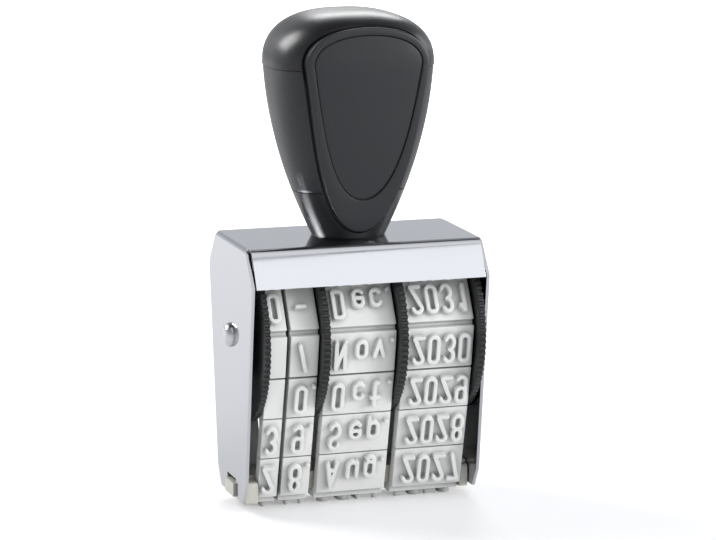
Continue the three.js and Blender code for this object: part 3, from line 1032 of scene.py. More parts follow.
@dataclass
class ThumbWheel:
    """A toothed disc with a nine-sided drum, on the axle."""

    node: str
    body: str
    axle_z: float
    disc: Point
    drum: Point
    boss_from: float | None = None
    pocket: float = 0.12
    pocket_radius: float = 3.2
    boss_radii: Point = (4.75, 6.5)
    disc_radius: float = 14.016
    drum_radius: float = 8.866
    drum_sides: int = 9
    drum_round: float = 0.2
    drum_round_steps: int = 3
    bore_radius: float = 1.72
    bore_sides: int = 48
    teeth: int = 90
    steps_per_tooth: int = 4
    steps_in_gap: tuple[int, ...] = (1, 2)
    tooth_depth: float = 0.42
    web_radius: float = 12.2
    web_depth: float = 0.12
    hub_radius: float = 3.2
    hub_width: float = 0.9
    rim_band: float = 0.54
    rim_ease: float = 0.3
    edge_round: float = 0.09
    smooth_to: float = 30

    def make(self) -> None:
        """Build the wheel."""
        disc = self.make_disc()
        parts = [self.make_drum()]
        if self.boss_from is not None:
            parts.append(self.make_boss())
        disc.join(parts).finish(f"{self.node}_black", WHEEL, self.body, (self.node,), self.smooth_to)

    def make_boss(self) -> Solid:
        """Model the ring that stands out round the washer, left of the disc.

        Returns:
            The ring.
        """
        inner, outer = self.boss_radii
        start = Vector((self.boss_from, 0, self.axle_z))
        length = self.disc[0] + self.edge_round - self.boss_from
        boss = Solid.rod(Axis.X, outer, start, length)
        boss.cut(Solid.rod(Axis.X, inner, start - Vector((OVERRUN, 0, 0)), length + 2 * OVERRUN))
        return boss.round_edges(self.edge_round)

    def make_disc(self) -> Solid:
        """Turn the disc out of a circle at the bore, up one side, over the rim and down the other side.

        Returns:
            The disc.
        """
        sides = self.teeth * self.steps_per_tooth
        left, right = self.disc
        near_side = self.side_rows(self.web_depth, self.hub_radius)
        far_side = self.side_rows(self.pocket, self.pocket_radius)
        rows = [*near_side, *((right - left - inward, radius) for inward, radius in reversed(far_side))]
        bpy.ops.mesh.primitive_circle_add(
            vertices=sides, radius=rows[0][1], location=(left + rows[0][0], 0, self.axle_z),
            rotation=Axis.X.value,
        )
        disc = Solid(bpy.context.object).settle()
        disc.edit(SelectMode.EDGE, everything)
        for (start, small), (end, large) in zip(rows, rows[1:]):
            extrude((end - start, 0, 0))
            share = large / small
            bpy.ops.transform.resize(value=(1, share, share), center_override=(0, 0, self.axle_z))
        bpy.ops.mesh.select_all(action="DESELECT")
        bpy.ops.mesh.select_non_manifold()
        bpy.ops.mesh.bridge_edge_loops()
        disc.face_outwards()
        disc.leave()
        self.cut_teeth(disc, sides)
        return disc

    def side_rows(self, pocket: float, pocket_radius: float) -> list[Point]:
        """List one side of the disc from the bore to the rim, as how far it lies inward and its radius.

        Args:
            pocket: How deep the side is sunk round the bore.
            pocket_radius: How far that reaches.

        Returns:
            The rows.
        """
        web, depth, edge = self.web_radius, self.web_depth, self.edge_round
        ring = pocket_radius + self.hub_width
        return [
            (pocket, self.bore_radius), (pocket, pocket_radius), (0, pocket_radius + depth), (0, ring),
            (depth, ring + depth), (depth, web - depth), (0, web), (0, self.disc_radius - self.rim_band),
            (self.rim_ease * edge, self.disc_radius - edge), (edge, self.disc_radius),
        ]

    def cut_teeth(self, disc: Solid, sides: int) -> None:
        """Draw the rim in between the teeth.

        Args:
            disc: The disc.
            sides: How many corners go round it.
        """
        step = 2 * math.pi / sides
        for vertex in disc.obj.data.vertices:
            spoke = Vector((0, vertex.co.y, vertex.co.z - self.axle_z))
            if spoke.length < self.disc_radius - 2 * self.edge_round:
                continue
            turns = round(math.atan2(spoke.z, spoke.y) / step)
            if turns % self.steps_per_tooth in self.steps_in_gap:
                vertex.co -= spoke.normalized() * self.tooth_depth

    def make_drum(self) -> Solid:
        """Model the drum with a flat for each link and a bore.

        Returns:
            The drum.
        """
        low, high = self.drum
        start = Vector((low, 0, self.axle_z))
        drum = Solid.rod(Axis.X, self.drum_radius, start, high - low, self.drum_sides)
        centre = Matrix.Translation((0, 0, self.axle_z))
        drum.obj.data.transform(centre @ Matrix.Rotation(math.pi / 2, 4, "X") @ centre.inverted())
        drum.round_edges(self.drum_round, self.drum_round_steps)
        start.x -= OVERRUN
        return drum.cut(Solid.rod(Axis.X, self.bore_radius, start, high - low + 2 * OVERRUN, self.bore_sides))


@dataclass
class FoldedFrame:
    """The chromed frame: one sheet folded into a top plate, two side plates and two sloping lips."""

    node: str = "frame"
    sheet: float = 0.5
    bend: float = 0.8
    lip_bend: float = 1.1
    brow_share: float = 0.3
    brow_lift: float = 0.2
    brow_reach: float = 1.6
    foot_raise: float = 0.45
    bend_steps: int = 6
    side_top_half: float = 8.5
    shoulder_half: float = 12.7
    shoulder_drop: float = 5.5
    foot_half: float = 8.2
    chamfer_depth: float = 2.0
    chamfer_height: float = 3.1
    lip_top_half: float = 9.85
    lip_edge_half: float = 12.95
    lip_drop: float = 5.75
    lip_end: float = 18.8
    axle_hole: float = 1.72
    screw_hole: float = 1.55
    window_half: float = 2.55
    window_low: float = 1.75
    window_high: float = 4.9
    edge_round: float = 0.1
    sharp_from: float = 40
    smooth_to: float = 30

    def make(self, axle_z: float) -> None:
        """Build the frame.

        Args:
            axle_z: The axle's height.
        """
        low, high = (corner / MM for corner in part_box(self.node))
        half, top = high.x, high.z
        solid = self.fold(half, top, low.z + self.foot_raise)
        solid.modify(
            "SOLIDIFY", thickness=self.sheet, offset=-1, use_even_offset=True, use_quality_normals=True
        )
        reach = half + 2 * OVERRUN
        solid.cut(Solid.rod(Axis.X, self.axle_hole, Vector((-reach, 0, axle_z)), 2 * reach))
        solid.cut(Solid.rod(Axis.Z, self.screw_hole, Vector((0, 0, top - 2 * OVERRUN)), 4 * OVERRUN))
        window = Solid.box(
            Vector((-reach, -self.window_half, self.window_low)),
            Vector((reach, self.window_half, self.window_high)),
        )
        solid.cut(window)
        solid.round_edges(self.edge_round, angle=self.sharp_from)
        solid.finish("frame_chrome", CHROME, "stamp", (self.node,), self.smooth_to)

    def fold(self, half: float, top: float, foot: float) -> Solid:
        """Fold the sheet's outer face out of a plane.

        Args:
            half: Half the frame's width.
            top: The height of its top.
            foot: The height of its feet.

        Returns:
            The folded face, without a wall yet.
        """
        bpy.ops.mesh.primitive_plane_add(size=1, location=(0, 0, top))
        solid = Solid(bpy.context.object)
        solid.obj.scale = (2 * half, 2 * self.side_top_half, 1)
        solid.settle()
        for side in (-1, 1):
            solid.edit(SelectMode.FACE, everything)
            bpy.ops.mesh.bisect(plane_co=(side * self.lip_end, 0, top), plane_no=(1, 0, 0))
            solid.leave()
        for side in (-1, 1):
            self.fold_lip(solid, side)
            self.fold_side(solid, side, half, top, foot)
        run = self.lip_edge_half - self.lip_top_half
        lip_reach = self.lip_bend * math.tan(math.atan2(self.lip_drop, run) / 2)
        brow = self.lip_top_half + run * self.brow_share
        self.bend_edges(
            solid,
            lambda place, way: (
                near(abs(place.y), self.lip_top_half) and near(place.z, top) and abs(way.x) > ALONG
            ),
            lip_reach,
        )
        self.bend_edges(
            solid, lambda place, way: near(abs(place.y), brow) and abs(way.x) > ALONG, self.brow_reach
        )
        self.bend_edges(solid, lambda place, way: near(abs(place.x), half) and near(place.z, top), self.bend)
        return solid

    def fold_lip(self, solid: Solid, side: int) -> None:
        """Draw the front or the back lip out of the top plate.

        Args:
            solid: The face in the making.
            side: -1 for the front, 1 for the back.
        """
        solid.edit(
            SelectMode.EDGE,
            lambda place, way: (
                near(place.y, side * self.side_top_half) and near(place.x, 0) and abs(way.x) > ALONG
            ),
        )
        extrude((0, side * (self.lip_top_half - self.side_top_half), 0))
        run = side * (self.lip_edge_half - self.lip_top_half)
        brow_run = run * self.brow_share
        brow_fall = self.lip_drop * self.brow_share - self.brow_lift
        for along, fall in ((brow_run, brow_fall), (run - brow_run, self.lip_drop - brow_fall)):
            extrude((0, along, -fall))
        solid.leave()

    def fold_side(self, solid: Solid, side: int, half: float, top: float, foot: float) -> None:
        """Draw the left or the right plate down from the top plate.

        Args:
            solid: The face in the making.
            side: -1 for the left, 1 for the right.
            half: Half the frame's width.
            top: The height of the frame's top.
            foot: The height of its feet.
        """
        solid.edit(SelectMode.EDGE, lambda place, way: near(place.x, side * half) and near(place.z, top))
        chamfer = foot + self.chamfer_height
        shoulder = top - self.shoulder_drop
        steps = (
            (self.shoulder_half / self.side_top_half, shoulder - top),
            (self.foot_half / self.shoulder_half, chamfer - shoulder),
            ((self.foot_half - self.chamfer_depth) / self.foot_half, foot - chamfer),
        )
        for share, fall in steps:
            extrude((0, 0, fall))
            bpy.ops.transform.resize(value=(1, share, 1))
        solid.leave()

    def bend_edges(self, solid: Solid, test: Test, reach: float) -> None:
        """Round the fold lines that pass a test.

        Args:
            solid: The folded face.
            test: Picks the fold lines.
            reach: How far the bend reaches from the fold line.
        """
        solid.edit(SelectMode.EDGE, test)
        bpy.ops.mesh.bevel(offset=reach, segments=self.bend_steps, affect="EDGES")
        solid.leave()


@dataclass
class HandleForm:
    """The handle's outer form: a round neck that swells into a wide grip under a crown."""

    foot: float
    neck: float = 5.8
    half_width: float = 13.1
    half_depth: float = 11.1
    parting: float = 27.3
    crown_height: float = 8.6
    width_swell: float = 0.92
    depth_swell: float = 0.8
    round_exponent: float = 2.0
    section_exponent: float = 2.8
    crown_exponent: float = 2.45
    brow_exponent: float = 3.2
    reach: float = 12.22
    least: float = 0.000001

    def halves(self, height: float, grow: float) -> tuple[float, float, float]:
        """Give a section's half width, half depth and exponent.

        Args:
            height: The height above the handle's foot.
            grow: How far the form is grown outwards.

        Returns:
            The half width, the half depth and the exponent of the section's rounding.
        """
        share = min(max(height / self.parting, 0), 1)
        crown = min(max((height - self.parting) / (self.crown_height + grow), 0), 1)
        width = self.neck + (self.half_width - self.neck) * self.swell(share, self.width_swell) + grow
        depth = self.neck + (self.half_depth - self.neck) * self.swell(share, self.depth_swell) + grow
        width *= (1 - crown**self.crown_exponent) ** (1 / self.crown_exponent)
        depth *= (1 - crown**self.brow_exponent) ** (1 / self.brow_exponent)
        exponent = self.round_exponent + (self.section_exponent - self.round_exponent) * share
        return width, depth, exponent

    @staticmethod
    def swell(share: float, end: float) -> float:
        """Ease a share from 0 to 1 so that it slows down towards 1."""
        return (1 - (1 - end * share) ** 2) / (1 - (1 - end) ** 2)

    def point(self, angle: float, height: float, grow: float = 0) -> Vector:
        """Give a point on the form.

        Args:
            angle: The angle round the section.
            height: The height above the handle's foot.
            grow: How far the form is grown outwards.

        Returns:
            The point, in the stamp's frame.
        """
        width, depth, exponent = self.halves(height, grow)
        across, away = math.cos(angle), math.sin(angle)
        x = math.copysign(abs(across) ** (2 / exponent), across) * width
        y = math.copysign(abs(away) ** (2 / exponent), away) * depth
        return Vector((x, y, self.foot + height))

    def front(self, x: float, height: float, grow: float) -> float:
        """Give how far the form reaches forwards at a place of the front view.

        Args:
            x: The place across.
            height: The height above the handle's foot.
            grow: How far the form is grown outwards.

        Returns:
            The depth, as a positive number.
        """
        width, depth, exponent = self.halves(height, grow)
        share = min(abs(x) / max(width, self.least), 1)
        return depth * (1 - share**exponent) ** (1 / exponent)

    def rise(self, y: float, height: float, arch: float) -> float:
        """Give the height of an arched seam where it crosses a depth."""
        return height + arch * (y / self.reach) ** 2


@dataclass
class Handle:
    """The handle's three shells: neck, grip and cap, parted by fine arched seams."""

    form: HandleForm
    seam: float = 7.4
    seam_arch: float = 1.2
    parting_arch: float = 0.5
    gap: float = 0.12
    lip_round: float = 0.18
    overhang: float = 0.12
    tuck: float = 1.2
    lip_steps: tuple[Point, ...] = ((0.3, 0.7), (1.0, 1.0))
    seam_rounds: int = 2
    around: int = 128
    grip_rings: int = 40
    neck_rings: int = 16
    crown_rings: int = 40

    def make(self, shields: tuple[Shield, ...]) -> None:
        """Build the three shells, with a groove round each shield.

        Args:
            shields: The shields that lie on them.
        """
        grip_top = self.form.parting - self.gap
        neck = self.shell((0, 0), (self.seam - self.gap / 2, self.seam_arch), self.neck_rings)
        grip = self.shell(
            (self.seam + self.gap / 2, self.seam_arch), (grip_top, self.parting_arch), self.grip_rings
        )
        cap = self.cap()
        for shell in (neck, grip, cap):
            for shield in shields:
                shell.cut(shield.groove())
        neck.finish("handle_neck_gloss", GLOSS, "stamp", ("handle_neck",), flat=False)
        grip.finish("handle_grip_satin", SATIN, "stamp", ("handle_grip",), flat=False)
        cap.finish("handle_cap_gloss", GLOSS, "stamp", ("handle_cap",), flat=False)

    def ring(self, height: float, arch: float, grow: float) -> list[Vector]:
        """List the points round the form along a seam.

        Args:
            height: The seam's lowest height.
            arch: How far it rises towards the front and the back.
            grow: How far the form is grown outwards.

        Returns:
            The points.
        """
        points = []
        for i in range(self.around):
            angle = 2 * math.pi * i / self.around
            point = self.form.point(angle, height, grow)
            for _ in range(self.seam_rounds):
                point = self.form.point(angle, self.form.rise(point.y, height, arch), grow)
            points.append(point)
        return points

    def shell(self, low: Point, high: Point, rings: int) -> Solid:
        """Model a shell between two seams, with rounded lips and closed ends.

        Args:
            low: The height and the arch of the lower seam.
            high: The height and the arch of the upper seam.
            rings: How many rings lie between them.

        Returns:
            The shell.
        """
        rows = []
        for i in range(rings + 1):
            height, arch = (a + (b - a) * i / rings for a, b in zip(low, high))
            rows.append(self.ring(height, arch, 0))
        return self.loft([*self.lip(rows[0], -1), *rows, *self.lip(rows[-1], 1)])

    def lip(self, row: list[Vector], way: int) -> list[list[Vector]]:
        """List the rows that round off a shell's open end and close it inwards.

        Args:
            row: The shell's last row.
            way: -1 for the lower end, 1 for the upper end.

        Returns:
            The rows, from the lowest to the highest.
        """
        rows = []
        for inward, further in (*self.lip_steps, (self.tuck / self.lip_round, 1)):
            shift = Vector((0, 0, way * further * self.gap / 2))
            spokes = [(Vector((0, 0, point.z)) - point).normalized() for point in row]
            inset = inward * self.lip_round
            rows.append([point + spoke * inset + shift for point, spoke in zip(row, spokes)])
        return rows if way > 0 else rows[::-1]

    def cap(self) -> Solid:
        """Model the cap: a rounded lip over the parting line, and the crown up to one point.

        Returns:
            The cap.
        """
        form = self.form
        rows = []
        for i in range(self.crown_rings):
            turn = math.pi / 2 * i / self.crown_rings
            climb = math.sin(turn) ** (2 / form.crown_exponent)
            height = form.parting + (form.crown_height + self.overhang) * climb
            arch = self.parting_arch * (1 - i / self.crown_rings)
            rows.append(self.ring(height, arch, self.overhang))
        rows = self.lip(rows[0], -1) + rows
        top = Vector((0, 0, form.foot + form.parting + form.crown_height + self.overhang))
        return self.loft(rows, top)

    def loft(self, rows: list[list[Vector]], top: Vector | None = None) -> Solid:
        """Skin rows of points, and close the lower end, and the upper one in a point or flat.

        Args:
            rows: The rows, from the lowest to the highest.
            top: The point that closes the upper end, if it isn't flat.

        Returns:
            The solid.
        """
        count = self.around
        points = [point for row in rows for point in row]
        faces = strip_faces(len(rows), count)
        faces.append(tuple(reversed(range(count))))
        last = len(points) - count
        if top is None:
            faces.append(tuple(last + i for i in range(count)))
        else:
            points.append(top)
            faces.extend((last + i, last + (i + 1) % count, len(points) - 1) for i in range(count))
        return Solid.skin("shell", points, faces)


@dataclass
class Shield:
    """A label plate on the handle: a teardrop with a rim and a sunk panel, which is left bare."""

    node: str
    side: int
    form: HandleForm
    half_width: float = 10.0
    tip: float = 1.35
    wide: float = 28.4
    top: float = 34.2
    panel_margin: float = 1.25
    panel_tip_margin: float = 5.4
    proud: float = 0.5
    recess: float = 0.22
    root: float = -0.6
    gap: float = 0.28
    groove_floor: float = -0.45
    groove_reach: float = 2.0
    tip_share: float = 0.64
    flank_share: float = 0.85
    flank_height_share: float = 0.615
    shoulder_share: float = 0.6
    straight_to: float = 31.0
    sag: float = 0.4
    flatness: float = 0.85
    steps: int = 24
    panel_rings: int = 14
    smooth_to: float = 50
    profile: tuple[Point, ...] = (
        (0.14, -0.6), (0.12, 0.02), (0.03, 0.28), (0.0, 0.35), (0.03, 0.43), (0.12, 0.48), (0.26, 0.5),
        (0.8, 0.5), (0.87, 0.47), (0.92, 0.38), (0.95, 0.24), (1.0, 0.19), (1.05, 0.22), (1.1, 0.27),
        (1.2, 0.28),
    )

    @property
    def middle(self) -> Vector:
        """The middle of the shield, across and up."""
        return Vector((0, (self.wide + self.tip) / 2))

    def make(self) -> None:
        """Build the shield."""
        margin = self.panel_margin
        outer = self.teardrop(self.half_width, self.tip, self.top)
        inner = self.teardrop(self.half_width - margin, self.tip + self.panel_tip_margin, self.top - margin)
        rows = []
        for share, height in self.profile:
            edge = [self.between(a, b, share) for a, b in zip(outer, inner)]
            rows.append(self.row(edge, height))
        panel = self.proud - self.recess
        for i in range(1, self.panel_rings):
            ring = [place.lerp(self.middle, i / self.panel_rings) for place in edge]
            rows.append(self.row(ring, panel))
        solid = self.close(rows, panel, self.root)
        solid.finish(f"{self.node}_satin", SATIN, "stamp", (self.node,), self.smooth_to, False)

    def between(self, outside: Vector, inside: Vector, share: float) -> Vector:
        """Give a place across the rim, whose rounded edges keep their width where the rim is wide.

        Args:
            outside: The rim's outer edge.
            inside: The rim's inner edge.
            share: 0 at the outer edge, 1 at the inner one.

        Returns:
            The place.
        """
        step = (inside - outside).normalized() * self.panel_margin
        return outside + step * share if share < 0.5 else inside + step * (share - 1)

    def groove(self) -> Solid:
        """Model what is cut out of the handle's shells, so that a fine groove runs round the shield.

        Returns:
            The cutting tool.
        """
        outline = self.teardrop(self.half_width + self.gap, self.tip - self.gap, self.top + self.gap)
        rows = [self.row(outline, self.groove_floor), self.row(outline, self.groove_reach)]
        return self.close(rows, self.groove_reach, self.groove_floor)

    def teardrop(self, half: float, tip: float, top: float) -> list[Vector]:
        """List the teardrop's outline: two curves a side, from the tip round to the tip.

        Args:
            half: Half the width.
            tip: The height of the tip.
            top: The height of the top.

        Returns:
            Points across and up, anticlockwise seen from the front.
        """
        flank = tip + (self.wide - tip) * self.flank_height_share
        shoulder = self.wide + (top - self.wide) * self.shoulder_share
        curves = (
            ((0, tip), (self.tip_share * half, tip), (self.flank_share * half, flank), (half, self.wide)),
            ((half, self.wide), (half, shoulder), (self.shoulder_share * half, top), (0, top)),
        )
        right = [self.bezier(curve, i / self.steps) for curve in curves for i in range(self.steps)]
        left = [Vector((-point.x, point.y)) for point in reversed(right[1:])]
        return right + [Vector((0, top))] + left

    @staticmethod
    def bezier(curve: tuple[Point, ...], share: float) -> Vector:
        """Give the point of a cubic curve at a share of its run.

        Args:
            curve: The curve's four control points.
            share: 0 at its start, 1 at its end.

        Returns:
            The point.
        """
        rest = 1 - share
        weights = (rest**3, 3 * rest**2 * share, 3 * rest * share**2, share**3)
        return Vector(sum(w * p[i] for w, p in zip(weights, curve)) for i in (0, 1))

    def row(self, places: list[Vector], grow: float) -> list[Vector]:
        """Lay places of the front view on the handle's form.

        Args:
            places: Points across and up.
            grow: How far they lie above the form.

        Returns:
            The points, in the stamp's frame.
        """
        return [Vector((p.x, self.side * self.depth(p, grow), self.form.foot + p.y)) for p in places]

    def depth(self, place: Vector, grow: float) -> float:
        """Give how far the shield reaches forwards: it is flatter than the form that carries it.

        Args:
            place: A point across and up.
            grow: How far it lies above the form.

        Returns:
            The depth, as a positive number.
        """
        snug = self.form.front(place.x, place.y, grow)
        if grow <= 0:
            return snug
        straight = self.form.front(0, min(place.y, self.straight_to), grow)
        flat = straight - self.sag * (place.x / self.half_width) ** 2
        return snug + (max(flat, snug) - snug) * self.flatness

    def close(self, rows: list[list[Vector]], front: float, back: float) -> Solid:
        """Skin rows, and close them in the middle of the front and behind.

        Args:
            rows: The rows, from the back inwards.
            front: How far the middle of the front lies above the form.
            back: How far the middle of the back does.

        Returns:
            The solid.
        """
        count = len(rows[0])
        points = [point for row in rows for point in row]
        points += [self.row([self.middle], grow)[0] for grow in (front, back)]
        faces = strip_faces(len(rows), count)
        last = (len(rows) - 1) * count
        for i in range(count):
            j = (i + 1) % count
            faces.append((last + i, last + j, len(points) - 2))
            faces.append((j, i, len(points) - 1))
        solid = Solid.skin("shield", points, faces)
        solid.edit(SelectMode.FACE, everything)
        solid.face_outwards()
        solid.leave()
        return solid


@dataclass
class AxleAndPlaten:
    """The riveted axle and the platen bar."""

    axle_z: float
    axle_radius: float = 1.6
    rivet_radius: float = 1.95
    rivet_height: float = 1.15
    dome_share: float = 0.98
    dome_steps: int = 10
    tab_half: float = 2.4
    tab_low: float = 1.9
    tab_height: float = 2.2
    tab_proud: float = 0.45
    cheek_halves: Point = (6.0, 4.4)
    cheek_ends: Point = (-16.8, 17.55)
    sheet: float = 0.5
    cheek_low: float = 1.2
    cheek_height: float = 3.7
    cheek_round: float = 0.6
    cheek_round_steps: int = 4
    end_gap: float = 0.12
    bar_foot: float = 2.5
    bar_height: float = 3.0
    bar_low_half: float = 2.9
    bar_high_half: float = 3.5
    edge_round: float = 0.15
    sharp_from: float = 60
    smooth_to: float = 50

    def make(self) -> None:
        """Build the axle and the platen bar."""
        self.make_axle()
        self.make_platen()

    def make_axle(self) -> None:
        """Turn the axle with a domed rivet head at each end."""
        low, high = (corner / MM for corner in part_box("wheel_axle"))
        rod_low = low.x + self.rivet_height
        rod_high = high.x - self.rivet_height
        axle = Solid.rod(Axis.X, self.axle_radius, Vector((rod_low, 0, self.axle_z)), rod_high - rod_low)
        for side, face in ((-1, rod_low), (1, rod_high)):
            start = min(face, face + side * self.rivet_height)
            head = Solid.rod(Axis.X, self.rivet_radius, Vector((start, 0, self.axle_z)), self.rivet_height)
            head.edit(SelectMode.FACE, lambda place, way, side=side: way.x * side > ALONG)
            bpy.ops.mesh.bevel(
                offset=self.dome_share * self.rivet_height, segments=self.dome_steps, affect="EDGES"
            )
            head.leave()
            axle.join([head])
        axle.finish("wheel_axle_steel", RIVET, "stamp", ("wheel_axle",), self.smooth_to)

    def make_platen(self) -> None:
        """Model the bar with a cheek and a tab at each end."""
        frame_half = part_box("frame")[1].x / MM
        inner = frame_half - self.sheet - self.end_gap
        bar = Solid.box(
            Vector((-inner, -self.bar_low_half, self.bar_foot)),
            Vector((inner, self.bar_low_half, self.bar_foot + self.bar_height)),
        )
        bar.edit(SelectMode.FACE, lambda place, way: way.z > ALONG)
        bpy.ops.transform.resize(value=(1, self.bar_high_half / self.bar_low_half, 1))
        bar.leave()
        bar.round_edges(self.edge_round)
        pieces = []
        left_end, right_end = self.cheek_ends
        left_half, right_half = self.cheek_halves
        for start, end, half in ((-inner, left_end, left_half), (right_end, inner, right_half)):
            cheek = Solid.box(
                Vector((start, -half, self.cheek_low)),
                Vector((end, half, self.cheek_low + self.cheek_height)),
            )
            cheek.edit(SelectMode.EDGE, lambda place, way: abs(way.x) > ALONG)
            bpy.ops.mesh.bevel(offset=self.cheek_round, segments=self.cheek_round_steps, affect="EDGES")
            cheek.leave()
            pieces.append(cheek.round_edges(self.edge_round / 2, angle=self.sharp_from))
        tab_end = frame_half + self.tab_proud
        for start, end in ((-tab_end, left_end), (right_end, tab_end)):
            tab = Solid.box(
                Vector((start, -self.tab_half, self.tab_low)),
                Vector((end, self.tab_half, self.tab_low + self.tab_height)),
            )
            pieces.append(tab.round_edges(self.edge_round))
        bar.join(pieces).finish("platen_bar_pale", PLATEN, "stamp", ("platen_bar",))


SMALL_PARTS = {
    "drum_spacer": SPRING, "left_washer": SPRING, "right_washer": SPRING,
    "screw_washer": SPRING, "handle_screw": RIVET,
}


@dataclass
class SmallParts:
    """Rings, screw and washer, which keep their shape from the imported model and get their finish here."""

    weld: float = 0.00001
    edge: float = 0.00008
    edge_steps: int = 2
    sharp_from: float = 40

    def dress(self, nodes: dict[str, bpy.types.Object]) -> None:
        """Give each small part its material, and ease its edges.

        Args:
            nodes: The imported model's nodes.
        """
        for name, finish in SMALL_PARTS.items():
            obj = nodes[name]
            obj.data.materials.clear()
            obj.data.materials.append(finish.material())
            obj.modifiers.new("weld", "WELD").merge_threshold = self.weld
            bevel = obj.modifiers.new("edge", "BEVEL")
            bevel.width = self.edge
            bevel.segments = self.edge_steps
            bevel.limit_method = "ANGLE"
            bevel.angle_limit = math.radians(self.sharp_from)
            LOG.info("%s keeps its shape", name)


@dataclass(frozen=True)
class Softbox:
    """A lamp with a rectangular face: where it hangs, its width and height, and how bright its face is."""

    name: str
    place: tuple[float, float, float]
    size: Point
    radiance: float

    def hang(self, target: tuple[float, float, float]) -> None:
        """Hang the lamp so that it points at the stamp.

        Args:
            target: Where it points.
        """
        bpy.ops.object.light_add(type="AREA", location=self.place)
        lamp = bpy.context.object
        lamp.name = self.name
        lamp.rotation_euler = (Vector(target) - Vector(self.place)).to_track_quat("-Z", "Y").to_euler()
        lamp.data.shape = "RECTANGLE"
        lamp.data.size, lamp.data.size_y = self.size
        lamp.data.energy = self.radiance * math.pi * self.size[0] * self.size[1]


SOFTBOXES = (
    Softbox("front", (0.28, -0.645, 0.41), (0.7, 0.5), 1.1),
    Softbox("front_high", (0.14, -0.32, 0.76), (0.7, 0.52), 0.75),
    Softbox("key_right", (0.75, -0.5, 0.25), (0.3, 0.4), 12.0),
    Softbox("back_top", (0.27, 0.76, 0.48), (0.34, 0.26), 6.4),
    Softbox("left_back", (-0.56, 0.52, 0.52), (0.48, 0.46), 9.2),
    Softbox("right_fill", (0.87, 0.19, 0.34), (0.4, 0.4), 2.2),
    Softbox("neck_spot", (-0.47, 0.48, 0.64), (0.14, 0.14), 90.0),
)
# The lamps that leave the frame's sheet out, and the one that lights nothing else.
SHEET_LAMPS = {"EXCLUDE": ("back_top", "left_back"), "INCLUDE": ("neck_spot",)}


